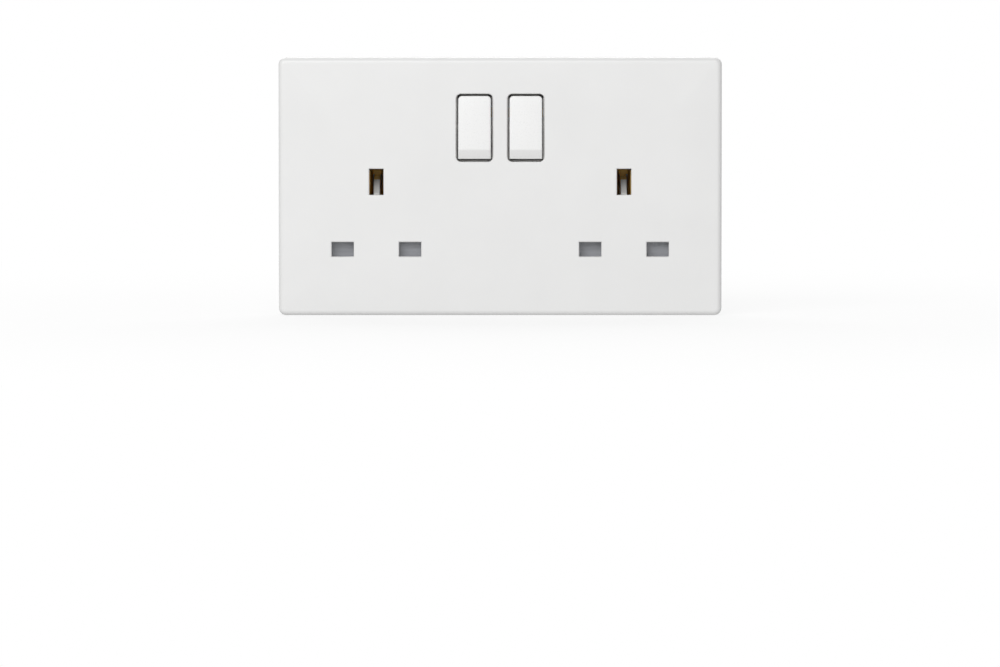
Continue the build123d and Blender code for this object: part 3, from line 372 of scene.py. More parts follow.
@dataclass(frozen=True)
class MouldedPlastic(Finish):
    """Moulded plastic: a soft cloud of colour, a fine skin and a roughness that varies a little."""

    shade: float = 0.03
    roughness: float = 0.36
    roughness_swing: float = 0.05
    skin: float = 0.35 * MM
    skin_detail: float = 2.0
    skin_height: float = 2.5 * MICRON
    cloud: float = 18.0 * MM
    cloud_detail: float = 3.0
    lie: Lie = Lie.EVEN
    box_tints: tuple[BoxTint, ...] = ()
    soft_edge: float = 0.0
    ior: float = 1.5

    def build(self) -> None:
        """Make the material."""
        sheet = MaterialSheet(self.slot.value)
        cloud = sheet.noise(self.lie, self.cloud, self.cloud_detail)
        dark = tuple(c * (1.0 - self.shade) for c in self.colour)
        light = tuple(min(1.0, c * (1.0 + self.shade)) for c in self.colour)
        tone = sheet.ramp(cloud, list(zip(NOISE_RANGE, (dark, light))))
        sheet.paint(tone, [(box_tint.share(sheet), box_tint.colour) for box_tint in self.box_tints])
        skin = sheet.noise(Lie.EVEN, self.skin, self.skin_detail)
        limits = (self.roughness - self.roughness_swing, self.roughness + self.roughness_swing)
        sheet.join(sheet.stretch(skin, NOISE_RANGE, limits), sheet.shader, "Roughness")
        sheet.bump(skin, self.skin_height, self.soft_edge)
        sheet.shader.inputs["IOR"].default_value = self.ior


@dataclass(frozen=True)
class DrawnMetal(Finish):
    """Metal with fine draw lines, a dull film in patches and a little unevenness.

    Sheet can also take a painted highlight along its edges and painted shade in its inner corners.
    """

    film: Colour
    film_end: float = 0.34
    bare_start: float = 0.62
    patch: float = 6.0 * MM
    patch_detail: float = 4.0
    roughness: float = 0.34
    roughness_swing: float = 0.09
    line: float = 0.4 * MM
    line_detail: float = 3.0
    line_height: float = 3.0 * MICRON
    lie: Lie = Lie.ALONG_X
    metal: float = 1.0
    # Colour and reach of a painted highlight along the edges, then colour and reach of painted shade in
    # the inner corners.
    edge_highlight: Colour | None = None
    edge_highlight_reach: float = 0.3 * MM
    corner: Colour = (0.03, 0.033, 0.036)
    corner_reach: float = 0.8 * MM

    def build(self) -> None:
        """Make the material."""
        sheet = MaterialSheet(self.slot.value)
        patch = sheet.noise(Lie.EVEN, self.patch, self.patch_detail)
        tone = sheet.ramp(patch, [(self.film_end, self.film), (self.bare_start, self.colour)])
        layers = []
        # Painted highlight on the edges, then painted shade in the inner corners.
        if self.edge_highlight:
            layers.append((sheet.edges(self.edge_highlight_reach), self.edge_highlight))
            layers.append((sheet.hollows(self.corner_reach), self.corner))
        sheet.paint(tone, layers)
        line = sheet.noise(self.lie, self.line, self.line_detail)
        limits = (self.roughness - self.roughness_swing, self.roughness + self.roughness_swing)
        sheet.join(sheet.stretch(line, NOISE_RANGE, limits), sheet.shader, "Roughness")
        sheet.bump(line, self.line_height)
        sheet.shader.inputs["Metallic"].default_value = self.metal


# Painted shade: the cover's back, seen only through the frame's holes, is dark brown so the holes look
# shaded, and a lighter brown round the fixing slots.
COVER_BACK_PAINTED_SHADE = BoxTint(
    (0.17, 0.12, 0.07), middle=(0.0, -6.0 * MM, 0.0), half=(71.4 * MM, 1.0 * MM, 40.9 * MM)
)
SLOT_BACK_PAINTED_SHADE = BoxTint(
    (0.46, 0.295, 0.175), middle=(0.0, -6.0 * MM, 0.0), half=(63.5 * MM, 1.0 * MM, 30.0 * MM)
)
COVER_WHITE = MouldedPlastic(
    Slot.COVER,
    (0.78, 0.78, 0.775),
    shade=0.012,
    roughness=0.34,
    skin_height=0.6 * MICRON,
    # The cover's back carries painted shade.
    box_tints=(COVER_BACK_PAINTED_SHADE, SLOT_BACK_PAINTED_SHADE),
    soft_edge=0.25 * MM,
)
INNER_WHITE = MouldedPlastic(Slot.INNER, (0.72, 0.72, 0.71), roughness=0.45)
HOUSING_WHITE = MouldedPlastic(
    Slot.HOUSING,
    (0.78, 0.78, 0.77),
    shade=0.015,
    roughness=0.38,
    skin_height=1.2 * MICRON,
    soft_edge=0.7 * MM,
)
ROCKER_WHITE = MouldedPlastic(
    Slot.ROCKER,
    (0.82, 0.82, 0.815),
    shade=0.008,
    roughness=0.30,
    skin_height=0.4 * MICRON,
    soft_edge=0.5 * MM,
)
PLUNGER_WHITE = MouldedPlastic(Slot.PLUNGER, (0.72, 0.72, 0.68), roughness=0.5)
# Lighter grey on the shutter's ramp in the earth slot, from 3.6 mm below to 2 mm above the socket's
# middle height.
LIGHTER_RAMP_BAND = BoxTint(
    (0.72, 0.72, 0.70), middle=(0.0, 0.0, -0.8 * MM), half=(80.0 * MM, 20.0 * MM, 2.8 * MM)
)
# Brass colour on the grey shutter, 2 to 6 mm above the socket's middle height, at the top of its ramp
# next to the brass web.
BRASS_TINTED_TOP = BoxTint(
    (0.62, 0.40, 0.12), middle=(0.0, 0.0, 4.0 * MM), half=(80.0 * MM, 20.0 * MM, 2.0 * MM)
)
SHUTTER_GREY = MouldedPlastic(
    Slot.SHUTTER,
    (0.29, 0.30, 0.325),
    shade=0.12,
    roughness=0.42,
    cloud=1.2 * MM,
    lie=Lie.ALONG_X,
    box_tints=(LIGHTER_RAMP_BAND, BRASS_TINTED_TOP),
)
FRAME_STEEL = DrawnMetal(
    Slot.FRAME,
    (0.145, 0.155, 0.163),
    (0.115, 0.124, 0.130),
    roughness=0.42,
    patch=14.0 * MM,
    # Painted highlight on the frame's edges, with painted shade in its inner corners.
    edge_highlight=(0.55, 0.56, 0.57),
)
STRIP_BRASS = DrawnMetal(
    Slot.STRIP, (1.0, 0.63, 0.17), (0.88, 0.53, 0.13), roughness=0.42, metal=0.5
)
TERMINAL_BRASS = DrawnMetal(
    Slot.TERMINAL, (0.96, 0.68, 0.26), (0.82, 0.54, 0.17), roughness=0.36, metal=0.5
)
SCREW_BRASS = DrawnMetal(Slot.SCREW, (0.93, 0.74, 0.40), (0.80, 0.60, 0.28), roughness=0.28)
CONTACT_SILVER = DrawnMetal(Slot.CONTACT, (0.86, 0.85, 0.82), (0.70, 0.68, 0.64), roughness=0.3)
SPRING_STEEL = DrawnMetal(Slot.SPRING, (0.55, 0.55, 0.56), (0.42, 0.42, 0.43), lie=Lie.EVEN)
PLASTICS = (COVER_WHITE, INNER_WHITE, HOUSING_WHITE, ROCKER_WHITE, PLUNGER_WHITE, SHUTTER_GREY)
METALS = (FRAME_STEEL, STRIP_BRASS, TERMINAL_BRASS, SCREW_BRASS, CONTACT_SILVER, SPRING_STEEL)


@dataclass(frozen=True)
class Place:
    """A local frame: where it stands and which way its axis points."""

    origin: np.ndarray
    axis: np.ndarray

    def basis(self) -> np.ndarray:
        """Rows of the local x, y and z directions.

        Returns:
            A 3 by 3 array whose last row is the axis.
        """
        side = np.array([1.0, 0.0, 0.0])
        if abs(self.axis @ side) > ALONG_X_SHARE:
            side = np.array([0.0, 0.0, 1.0])
        across = np.cross(self.axis, side)
        across /= np.linalg.norm(across)
        return np.stack([np.cross(across, self.axis), across, self.axis])

    def world(self, points: np.ndarray) -> np.ndarray:
        """Local points in the shared frame."""
        return points @ self.basis() + self.origin


@dataclass(frozen=True)
class Surface:
    """Points and faces of one closed shape."""

    points: np.ndarray
    faces: np.ndarray

    def moved(self, place: Place) -> "Surface":
        """The same shape set at a place."""
        return Surface(place.world(self.points), self.faces)

    def closed(self) -> "Surface":
        """Close the poles and turn the faces outwards.

        Points that coincide become one, so a ring of no radius becomes a pole. The quads are cut
        into triangles, and those that have shrunk to a line are left out. The volume under the
        triangles, a third of the sum of each one's area times the distance of its plane from the
        origin, is negative where the faces point inwards, and then they are turned round.

        Returns:
            The closed surface, in triangles.
        """
        points, index = np.unique(self.points, axis=0, return_inverse=True)
        quads = index.reshape(-1)[self.faces]
        faces = np.concatenate([quads[:, [0, 1, 2]], quads[:, [0, 2, 3]]])
        faces = faces[np.all(faces != np.roll(faces, 1, axis=1), axis=1)]
        a, b, c = np.moveaxis(points[faces], 1, 0)
        if np.sum(a * np.cross(b, c)) < 0.0:
            faces = faces[:, ::-1]
        return Surface(points, faces)


def around(sides: int) -> np.ndarray:
    """Even angles once round an axis."""
    return np.linspace(0.0, 2.0 * math.pi, sides, endpoint=False)


def ring_faces(rows: int, columns: int) -> np.ndarray:
    """Quads between closed rings of points that are stored ring by ring.

    Args:
        rows: number of rings.
        columns: number of points in a ring.

    Returns:
        Indices of the four corners of each quad.
    """
    row, column = np.meshgrid(np.arange(rows - 1), np.arange(columns), indexing="ij")
    following = (column + 1) % columns
    corners = [row * columns + column, row * columns + following]
    corners += [(row + 1) * columns + following, (row + 1) * columns + column]
    return np.stack(corners, axis=-1).reshape(-1, 4)


def turned(radius: np.ndarray, height: np.ndarray, sides: int) -> Surface:
    """Surface of revolution: each row of points goes round the z axis at its own radius.

    Rows that start and end on the axis close the shape.

    Args:
        radius: distance from the axis in each row, or in each row and at each angle.
        height: heights of the rows.
        sides: points round the axis.

    Returns:
        The closed surface.
    """
    angle = around(sides)
    radius = radius.reshape(len(height), -1)
    x = radius * np.cos(angle)
    y = radius * np.sin(angle)
    z = np.broadcast_to(height[:, None], x.shape)
    points = np.stack([x, y, z], axis=-1).reshape(-1, 3)
    return Surface(points, ring_faces(len(height), sides)).closed()


def tube(path: np.ndarray, radius: np.ndarray, sides: int) -> Surface:
    """Round wire: a circle of the given radius carried along a path, at right angles to it.

    The circle's frame at each point is the path's direction, the direction away from the z axis
    and their cross product, so it doesn't twist along a helix. End radii of zero close it.

    Args:
        path: points of the wire's middle line.
        radius: the wire's radius at each point.
        sides: points round the wire.

    Returns:
        The closed surface.
    """
    along = np.gradient(path, axis=0)
    along /= np.linalg.norm(along, axis=1, keepdims=True)
    away = path * np.array([1.0, 1.0, 0.0])
    away -= along * np.sum(away * along, axis=1, keepdims=True)
    away /= np.linalg.norm(away, axis=1, keepdims=True)
    up = np.cross(along, away)
    angle = around(sides)[None, :, None]
    ring = away[:, None, :] * np.cos(angle) + up[:, None, :] * np.sin(angle)
    points = path[:, None, :] + radius[:, None, None] * ring
    return Surface(points.reshape(-1, 3), ring_faces(len(path), sides)).closed()


def joined(parts: list[Surface]) -> Surface:
    """Several surfaces as one.

    Args:
        parts: closed surfaces.

    Returns:
        One surface that holds them all.
    """
    counts = np.cumsum([0] + [len(part.points) for part in parts])
    faces = [part.faces + start for part, start in zip(parts, counts)]
    return Surface(np.concatenate([part.points for part in parts]), np.concatenate(faces))


def body_of(frame: dict, node: str) -> str:
    """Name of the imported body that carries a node."""
    bodies = frame["record"]["behaviour"]["bodies"]
    return next(body for body, nodes in bodies.items() if node in nodes)


def packed_joint(frame: dict, name: str) -> dict:
    """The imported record's entry for a joint."""
    return next(joint for joint in frame["joints"] if joint["name"] == name)


def joint_axis(frame: dict, name: str) -> np.ndarray:
    """Unit direction of a packed joint."""
    axis = np.array(packed_joint(frame, name)["axis"], float)
    return axis / np.linalg.norm(axis)


def hinge_swing(frame: dict, name: str) -> float:
    """Angle that a packed hinge turns through, in radians."""
    low, high = packed_joint(frame, name)["range_deg"]
    return math.radians(high - low)


def node_points(frame: dict, node: str) -> np.ndarray:
    """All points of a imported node, in metres.

    Args:
        frame: the loaded frame.
        node: the node's name.

    Returns:
        An array of points, one in each row.
    """
    vertices = frame["nodes"][node].data.vertices
    points = np.empty(3 * len(vertices))
    vertices.foreach_get("co", points)
    return points.reshape(-1, 3)


def stand_in(frame: dict, node: str, ending: str, surface: Surface, finish: Finish) -> bpy.types.Object:
    """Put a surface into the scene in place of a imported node, on the body that carries the node.

    Args:
        frame: the loaded frame.
        node: the node that the new piece stands for.
        ending: what the piece's name adds to the node's name.
        surface: its points and faces in the shared frame.
        finish: its finish.

    Returns:
        The new object.
    """
    name = f"{node}_{ending}"
    mesh = bpy.data.meshes.new(name)
    mesh.from_pydata(surface.points.tolist(), [], surface.faces.tolist())
    mesh.polygons.foreach_set("use_smooth", np.full(len(mesh.polygons), True))
    mesh.validate()
    mesh.update()
    piece = bpy.data.objects.new(name, mesh)
    bpy.context.scene.collection.objects.link(piece)
    finish.put_on(piece)
    body = body_of(frame, node)
    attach(piece, body)
    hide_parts(node)
    log.info("%s: %d points on %s", name, len(surface.points), body)
    return piece


def smoothing_group() -> bpy.types.NodeTree:
    """Node group that merges a piece's loose triangles and smooths its round faces.

    Returns:
        The group, made once.
    """
    if SMOOTHING in bpy.data.node_groups:
        return bpy.data.node_groups[SMOOTHING]
    group = bpy.data.node_groups.new(SMOOTHING, "GeometryNodeTree")
    for way in ("INPUT", "OUTPUT"):
        group.interface.new_socket("Geometry", in_out=way, socket_type="NodeSocketGeometry")
    sheet = NodeSheet(group)
    start = sheet.add("NodeGroupInput")
    merge = sheet.add("GeometryNodeMergeByDistance", {"Distance": MERGE_DISTANCE})
    smooth = sheet.add("GeometryNodeSetShadeSmooth")
    angle = sheet.add("GeometryNodeInputMeshEdgeAngle")
    sharp = sheet.add("FunctionNodeCompare", {1: SHARP_ANGLE}, operation="GREATER_THAN")
    crease = sheet.add("GeometryNodeSetShadeSmooth", {"Shade Smooth": False}, domain="EDGE")
    end = sheet.add("NodeGroupOutput")
    sheet.join(start.outputs["Geometry"], merge, "Geometry")
    sheet.join(merge.outputs["Geometry"], smooth, "Geometry")
    sheet.join(smooth.outputs["Geometry"], crease, "Geometry")
    sheet.join(angle.outputs["Unsigned Angle"], sharp, 0)
    sheet.join(sharp.outputs["Result"], crease, "Selection")
    sheet.join(crease.outputs["Geometry"], end, "Geometry")
    return group


def sharpen(piece: bpy.types.Object) -> None:
    """Smooth a piece's round faces and keep its sharp edges."""
    modifier = piece.modifiers.new(SMOOTHING, "NODES")
    modifier.node_group = smoothing_group()


@dataclass(frozen=True)
class AxialSize:
    """A round node measured along its own axis."""

    place: Place
    length: float
    radius: float

    @classmethod
    def of(cls, frame: dict, node: str, axis: np.ndarray) -> "AxialSize":
        """Measure a node of round section.

        Args:
            frame: the loaded frame.
            node: the node's name.
            axis: unit direction of its axis, from its foot to its head.

        Returns:
            Its place at the foot of its axis, its length and its largest radius.
        """
        basis = Place(np.zeros(3), axis).basis()
        local = node_points(frame, node) @ basis.T
        low = local.min(axis=0)
        high = local.max(axis=0)
        foot = (low + high) / 2.0
        foot[2] = low[2]
        return cls(Place(foot @ basis, axis), high[2] - low[2], (high[0] - low[0]) / 2.0)


@dataclass
class CoilSpring:
    """Compression spring of round wire with a closed turn at each end.

    A closed turn's rise is given in radii of the wire.
    """

    node: str
    slide: str
    turns: float = 7.0
    wire: float = 0.16 * MM
    closed_rise: float = 2.2
    steps: int = 36
    sides: int = 10

    def wire_line(self, radius: float, length: float) -> np.ndarray:
        """Middle line of the wire: a helix whose first and last turns are closed.

        Each point goes round at a steady rate. A closed turn rises by little more than the
        wire's thickness, and the open turns share the rest of the length evenly.

        Args:
            radius: radius of the helix.
            length: free length of the spring, outside to outside.

        Returns:
            Points from one end of the wire to the other.
        """
        count = int((self.turns + 2.0) * self.steps)
        turn = np.linspace(0.0, self.turns + 2.0, count)
        angle = 2.0 * math.pi * turn
        pitch = self.closed_rise * self.wire
        closed = np.minimum(turn, 1.0) * pitch + np.maximum(turn - self.turns - 1.0, 0.0) * pitch
        opened = np.clip((turn - 1.0) / self.turns, 0.0, 1.0)
        rise = length - 2.0 * self.wire - 2.0 * pitch
        z = self.wire + closed + opened * rise
        return np.stack([radius * np.cos(angle), radius * np.sin(angle), z], axis=-1)

    def build(self, frame: dict, axis: np.ndarray) -> None:
        """Make the spring in place of its node.

        Args:
            frame: the loaded frame.
            axis: unit direction from the spring's fixed end to its moving end.
        """
        size = AxialSize.of(frame, self.node, axis)
        line = self.wire_line(size.radius - self.wire, size.length)
        taper = np.full(len(line), self.wire)
        taper[[0, -1]] = 0.0
        surface = tube(line, taper, self.sides).moved(size.place)
        piece = stand_in(frame, self.node, "wire", surface, SPRING_STEEL)
        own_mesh(piece)


@dataclass
class TerminalScrew:
    """Slotted brass screw: threaded shank, round head with a broken edge and a cut slot."""

    pole: str
    head_length: float = 2.4 * MM
    shank_radius: float = 1.95 * MM
    thread_depth: float = 0.3 * MM
    pitch: float = 0.7 * MM
    slot_width: float = 0.9 * MM
    slot_depth: float = 1.1 * MM
    edge: float = 0.3 * MM
    sides: int = 64
    rows_per_turn: int = 12
    arc_points: int = 40
    chord_points: int = 22
    edge_points: int = 5

    def bend(self) -> np.ndarray:
        """Even angles from 0 to a right angle, for a broken edge."""
        return np.linspace(0.0, math.pi / 2.0, self.edge_points)

    def shank(self, length: float) -> Surface:
        """Threaded shank: its radius is a wave of the height and of the angle round the axis.

        The radius at height z and angle a is the core plus the thread's depth times a triangle
        wave of z / pitch - a / turn, which winds one ridge up the shank. The tip tapers.

        Args:
            length: length of the shank from its tip to the head.

        Returns:
            The closed surface.
        """
        height = np.linspace(0.0, length, int(length / self.pitch * self.rows_per_turn))
        phase = height[:, None] / self.pitch - around(self.sides)[None, :] / (2.0 * math.pi)
        wave = 1.0 - 2.0 * np.abs(phase - np.floor(phase) - 0.5)
        taper = np.clip(height / self.pitch, 0.0, 1.0)[:, None]
        radius = self.shank_radius - self.thread_depth * (1.0 - wave * taper)
        radius[[0, -1]] = 0.0
        return turned(radius, height, self.sides)

    def head_foot(self, radius: float, low: float, high: float) -> Surface:
        """The head below its slot: a turned disc whose lower edge is rounded by a quarter circle.

        Args:
            radius: the head's radius.
            low: height of the head's foot.
            high: height of the slot's floor.

        Returns:
            The closed surface.
        """
        bend = self.bend()
        rounded = radius - self.edge * np.sin(bend)
        level = low + self.edge * np.cos(bend)
        profile = np.concatenate([[0.0, radius, radius], rounded, [0.0]])
        height = np.concatenate([[high, high, low + self.edge], level, [low]])
        return turned(profile, height, self.sides)

    def head_half(self, radius: float, low: float, high: float, side: float) -> Surface:
        """One of the two lands beside the slot: a round segment that is carried up the axis.

        Its outline goes along the arc from one end of the slot to the other and straight back.
        The outline shrinks towards its middle near the top, which rounds the edge, and to a
        point at both ends, which closes it.

        Args:
            radius: the head's radius.
            low: height of the land's foot.
            high: height of its top.
            side: 1 or -1 for the side of the slot.

        Returns:
            The closed surface.
        """
        half_slot = self.slot_width / 2.0
        reach = math.acos(half_slot / radius)
        arc = np.linspace(-reach, reach, self.arc_points)
        chord = np.linspace(math.sin(reach), -math.sin(reach), self.chord_points)[1:-1] * radius
        x = np.concatenate([radius * np.sin(arc), chord])
        y = np.concatenate([radius * np.cos(arc), np.full(len(chord), half_slot)])
        outline = np.stack([x, y], axis=-1)
        middle = np.array([0.0, (half_slot + radius) / 2.0])
        bend = self.bend()
        whole = 2.0 * radius
        inset = np.concatenate([[whole, 0.0], self.edge * (1.0 - np.cos(bend)), [whole]])
        height = np.concatenate([[low, low], high - self.edge * (1.0 - np.sin(bend)), [high]])
        outward = outline - middle
        span = np.linalg.norm(outward, axis=1)
        share = np.clip(1.0 - inset[:, None] / span[None, :], 0.0, 1.0)
        plan = middle + outward[None, :, :] * share[:, :, None]
        z = np.broadcast_to(height[:, None, None], (*share.shape, 1))
        points = np.concatenate([plan, z], axis=-1).reshape(-1, 3)
        points *= np.array([side, side, 1.0])
        return Surface(points, ring_faces(len(height), len(outline))).closed()

    def build(self, frame: dict) -> None:
        """Make the screw in place of its node.

        Args:
            frame: the loaded frame.
        """
        node = f"{self.pole}_terminal_screw"
        axis = -joint_axis(frame, f"{self.pole}_screw_drive")
        size = AxialSize.of(frame, node, axis)
        foot = size.length - self.head_length
        floor = size.length - self.slot_depth
        parts = [self.shank(foot), self.head_foot(size.radius, foot, floor)]
        parts += [self.head_half(size.radius, floor, size.length, side) for side in (1.0, -1.0)]
        sharpen(stand_in(frame, node, "threaded", joined(parts).moved(size.place), SCREW_BRASS))


@dataclass
class RivetContact:
    """Silver contact tip with a low domed face."""

    node: str
    crown: float = 0.18 * MM
    sides: int = 48
    rings: int = 12

    def build(self, frame: dict, axis: np.ndarray) -> None:
        """Make the tip in place of its node.

        It is a disc whose face falls with the square of the distance from its axis.

        Args:
            frame: the loaded frame.
            axis: unit direction of the tip's face.
        """
        size = AxialSize.of(frame, self.node, axis)
        across = np.linspace(0.0, 1.0, self.rings)
        crown = size.length - self.crown * across**2
        radius = np.concatenate([across, [1.0, 0.0]]) * size.radius
        height = np.concatenate([crown, [0.0, 0.0]])
        surface = turned(radius, height, self.sides).moved(size.place)
        sharpen(stand_in(frame, self.node, "tip", surface, CONTACT_SILVER))


@dataclass(frozen=True)
class Dressing:
    """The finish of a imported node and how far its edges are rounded."""

    node: str
    finish: Finish
    edge: float = 0.0
    edge_steps: int = 2

    def apply(self, frame: dict) -> None:
        """Give the node its material, merge its triangles and round its edges.

        Args:
            frame: the loaded frame.
        """
        piece = frame["nodes"][self.node]
        self.finish.put_on(piece)
        sharpen(piece)
        if self.edge:
            flat = piece.modifiers.new("join_flat_faces", "DECIMATE")
            flat.decimate_type = "DISSOLVE"
            flat.angle_limit = FLAT_ANGLE
            bevel = piece.modifiers.new("rounded_edges", "BEVEL")
            bevel.width = self.edge
            bevel.segments = self.edge_steps
            bevel.limit_method = "ANGLE"
            bevel.angle_limit = SHARP_ANGLE
            bevel.harden_normals = True
        log.info("%s: %s", self.node, self.finish.slot.value)


@dataclass
class SocketShell:
    """Cover, inner moulding, frame and rear casing."""

    casing_edge: float = 0.35 * MM
    sheet_edge: float = 0.22 * MM

    def dress(self, frame: dict) -> None:
        """Give every node of the shell its finish.

        Args:
            frame: the loaded frame.
        """
        Dressing("front_plate", COVER_WHITE).apply(frame)
        Dressing("inner_front", INNER_WHITE).apply(frame)
        Dressing("rear_housing", HOUSING_WHITE, self.casing_edge).apply(frame)
        Dressing("mounting_frame", FRAME_STEEL, self.sheet_edge).apply(frame)


@dataclass
class SwitchGear:
    """Rockers, plungers, springs, see-saw arms and their contacts."""

    plunger_turns: float = 5.0
    arm_edge: float = 0.1 * MM

    def dress(self, frame: dict) -> None:
        """Dress both switches and make their springs and contact tips.

        An arm at rest leans by half its swing, and its contact tip faces that way.

        Args:
            frame: the loaded frame.
        """
        bar_front = np.array([0.0, -1.0, 0.0])
        for side in SIDES:
            Dressing(f"rocker_{side}", ROCKER_WHITE).apply(frame)
            Dressing(f"rocker_plunger_{side}", PLUNGER_WHITE).apply(frame)
            Dressing(f"switch_arm_{side}", STRIP_BRASS, self.arm_edge).apply(frame)
            slide = f"plunger_{side}_slide"
            spring = CoilSpring(f"rocker_spring_{side}", slide, self.plunger_turns)
            spring.build(frame, joint_axis(frame, slide))
            lean = hinge_swing(frame, f"arm_{side}_tilt") / 2.0
            arm_back = np.array([0.0, math.cos(lean), math.sin(lean)])
            RivetContact(f"moving_contact_{side}").build(frame, arm_back)
            RivetContact(f"fixed_contact_{side}").build(frame, bar_front)


@dataclass
class PinGear:
    """Shutters with their springs, and the brass strips behind the slots."""

    shutter_edge: float = 0.15 * MM
    strip_edge: float = 0.12 * MM

    def dress(self, frame: dict) -> None:
        """Dress the shutters and strips and make the shutter springs.

        The strips with pin clips stay sharp, because rounding leaves folded faces at the clips.

        Args:
            frame: the loaded frame.
        """
        for side in SIDES:
            Dressing(f"shutter_{side}", SHUTTER_GREY, self.shutter_edge).apply(frame)
            slide = f"shutter_{side}_slide"
            spring = CoilSpring(f"shutter_spring_{side}", slide)
            spring.build(frame, -joint_axis(frame, slide))
            Dressing(f"line_contact_{side}", STRIP_BRASS).apply(frame)
        Dressing("neutral_bar", STRIP_BRASS).apply(frame)
        for node in ("line_bar", "earth_bar", "earth_strap"):
            Dressing(node, STRIP_BRASS, self.strip_edge).apply(frame)


@dataclass
class TerminalGear:
    """Brass tunnels and their screws."""

    tunnel_edge: float = 0.2 * MM

    def dress(self, frame: dict) -> None:
        """Dress the tunnels and make their screws.

        Args:
            frame: the loaded frame.
        """
        for pole in POLES:
            Dressing(f"{pole}_terminal", TERMINAL_BRASS, self.tunnel_edge).apply(frame)
            TerminalScrew(pole).build(frame)


@dataclass(frozen=True)
class SoftLamp:
    """Wide soft lamp that looks at the socket."""

    name: str
    place: tuple[float, float, float]
    energy: float
    width: float = 1.2
    height: float = 0.8

    def build(self) -> None:
        """Hang the lamp and turn it towards the origin."""
        data = bpy.data.lights.new(self.name, "AREA")
        data.shape = "RECTANGLE"
        data.size = self.width
        data.size_y = self.height
        data.energy = self.energy
        lamp = bpy.data.objects.new(self.name, data)
        lamp.location = self.place
        lamp.rotation_euler = (-Vector(self.place)).to_track_quat("-Z", "Y").to_euler()
        bpy.context.scene.collection.objects.link(lamp)


FRONT_LAMP = SoftLamp("front_soft", (-0.45, -1.2, 0.62), 10.8)
REAR_LAMP = SoftLamp("rear_soft", (0.0, 0.95, 0.85), 10.4, width=1.6)


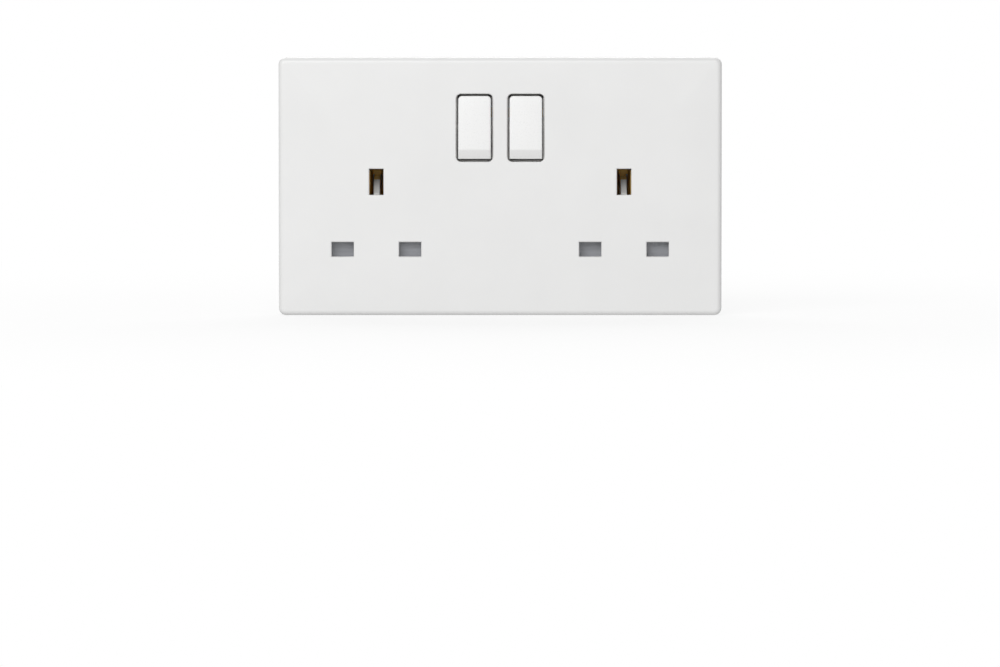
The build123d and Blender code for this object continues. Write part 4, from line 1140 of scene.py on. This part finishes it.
@dataclass
class Studio:
    """White floor, soft light and the camera of the upper, front picture.

    The plate's middle is given in pixels of the picture, and the sensor's width in millimetres.
    The room's light is given at heights of the direction from -1, straight down, to 1, straight up.
    """

    picture_width: float = 1000.0
    picture_height: float = 667.0
    plate_x: float = 500.2
    plate_y: float = 186.5
    pixels_per_mm: float = 3.037
    distance: float = 2.2
    rise: float = 0.075
    sensor: float = 36.0
    nearest: float = 0.05
    floor_half: float = 60.0
    floor_albedo: float = 0.9
    floor_roughness: float = 0.9
    floor_glow: float = 0.78
    shadow_start: float = 0.10
    shadow_reach: float = 0.40
    room: tuple[tuple[float, float], ...] = (
        (-1.0, 0.38),
        (-0.6, 0.68),
        (-0.08, 0.80),
        (0.25, 0.79),
        (1.0, 0.30),
    )
    side_start: float = 0.55
    side_share: float = 0.55

    def build(self) -> None:
        """Make the floor, the light and the camera."""
        low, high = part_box("front_plate")
        self.floor(low.z)
        self.light()
        self.camera(low.y, (low.z + high.z) / 2.0)

    def floor(self, height: float) -> None:
        """Pale floor whose far part is as white as the background.

        It throws no soft light back, because the room's lower half stands for that.

        Args:
            height: level of the floor.
        """
        reach = self.floor_half
        points = np.array([[-reach, -reach], [reach, -reach], [reach, reach], [-reach, reach]])
        points = np.column_stack([points, np.full(4, height)])
        mesh = bpy.data.meshes.new("floor")
        mesh.from_pydata(points.tolist(), [], [[0, 1, 2, 3]])
        mesh.materials.append(self.floor_white())
        floor = bpy.data.objects.new("floor", mesh)
        floor.visible_diffuse = False
        bpy.context.scene.collection.objects.link(floor)

    def floor_white(self) -> bpy.types.Material:
        """Matt white that takes a shadow near the socket and glows white further out.

        The share of the glow is a soft step of the distance from the origin.

        Returns:
            The finished material.
        """
        sheet = MaterialSheet("floor_white")
        sheet.shader.inputs["Base Color"].default_value = (*[self.floor_albedo] * 3, 1.0)
        sheet.shader.inputs["Roughness"].default_value = self.floor_roughness
        sheet.shader.inputs["Specular IOR Level"].default_value = 0.0
        length = sheet.add("ShaderNodeVectorMath", operation="LENGTH")
        sheet.join(sheet.place, length, 0)
        reach = (self.shadow_start, self.shadow_reach)
        glow = sheet.stretch(length.outputs["Value"], reach, (self.floor_glow, 1.0), Fade.SOFT)
        mix = sheet.add("ShaderNodeMixShader")
        sheet.join(glow, mix, "Fac")
        sheet.join(sheet.shader.outputs["BSDF"], mix, 1)
        sheet.join(sheet.add("ShaderNodeEmission").outputs["Emission"], mix, 2)
        sheet.join(mix.outputs["Shader"], sheet.output, "Surface")
        return sheet.material

    def light(self) -> None:
        """White room and two wide soft lamps."""
        bpy.context.scene.view_settings.view_transform = "Standard"
        bpy.context.scene.world = self.white_room()
        for lamp in (FRONT_LAMP, REAR_LAMP):
            lamp.build()

    def white_room(self) -> bpy.types.World:
        """White room that dims towards its floor, its ceiling and its two sides.

        Its light is a ramp of the direction's height, times a share that falls with the size of
        the direction's x. What is seen straight past the socket is white.

        Returns:
            The finished world.
        """
        world = bpy.data.worlds.new("white_room")
        world.use_nodes = True
        sheet = NodeSheet(world.node_tree)
        split = sheet.add("ShaderNodeSeparateXYZ")
        sheet.join(sheet.add("ShaderNodeTexCoord").outputs["Generated"], split, "Vector")
        level = sheet.stretch(split.outputs["Z"], (-1.0, 1.0))
        stops = [((height + 1.0) / 2.0, (value, value, value)) for height, value in self.room]
        aside = sheet.add("ShaderNodeMath", operation="ABSOLUTE")
        sheet.join(split.outputs["X"], aside, 0)
        reach = (self.side_start, 1.0)
        dim = sheet.stretch(aside.outputs["Value"], reach, (1.0, self.side_share), Fade.SOFT)
        lit = sheet.add("ShaderNodeBackground")
        sheet.join(sheet.ramp(level, stops), lit, "Color")
        sheet.join(dim, lit, "Strength")
        seen = sheet.add("ShaderNodeBackground", {"Color": (1.0, 1.0, 1.0, 1.0)})
        mix = sheet.add("ShaderNodeMixShader")
        sheet.join(sheet.add("ShaderNodeLightPath").outputs["Is Camera Ray"], mix, "Fac")
        sheet.join(lit.outputs["Background"], mix, 1)
        sheet.join(seen.outputs["Background"], mix, 2)
        sheet.join(mix.outputs["Shader"], sheet.add("ShaderNodeOutputWorld"), "Surface")
        return world

    def camera(self, face_y: float, middle_z: float) -> None:
        """Long lens that puts the plate's middle at its place in the picture.

        Args:
            face_y: the plate's front face.
            middle_z: height of the plate's middle.
        """
        data = bpy.data.cameras.new("front_view")
        data.sensor_width = self.sensor
        data.lens = self.pixels_per_mm * self.sensor / self.picture_width * self.distance / MM
        data.clip_start = self.nearest
        data.clip_end = 2.0 * self.floor_half
        view = bpy.data.objects.new("front_view", data)
        bpy.context.scene.collection.objects.link(view)
        right = (self.plate_x - self.picture_width / 2.0) / self.pixels_per_mm * MM
        up = (self.picture_height / 2.0 - self.plate_y) / self.pixels_per_mm * MM
        view.location = (-right, face_y - self.distance, middle_z + self.rise)
        drop = math.atan2(self.rise, self.distance) + math.atan2(up, self.distance)
        view.rotation_euler = (math.pi / 2.0 - drop, 0.0, 0.0)
        bpy.context.scene.camera = view


def make_finishes() -> None:
    """Make every material once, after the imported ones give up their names."""
    for material in list(bpy.data.materials):
        material.name = f"packed_{material.name}"
    for finish in PLASTICS + METALS:
        finish.build()


def main() -> None:
    """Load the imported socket, dress it and set up its studio."""
    logging.basicConfig(level=logging.INFO, format="%(name)s: %(message)s")
    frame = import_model()
    make_finishes()
    SocketShell().dress(frame)
    SwitchGear().dress(frame)
    PinGear().dress(frame)
    TerminalGear().dress(frame)
    Studio().build()


if __name__ == "__main__":
    main()
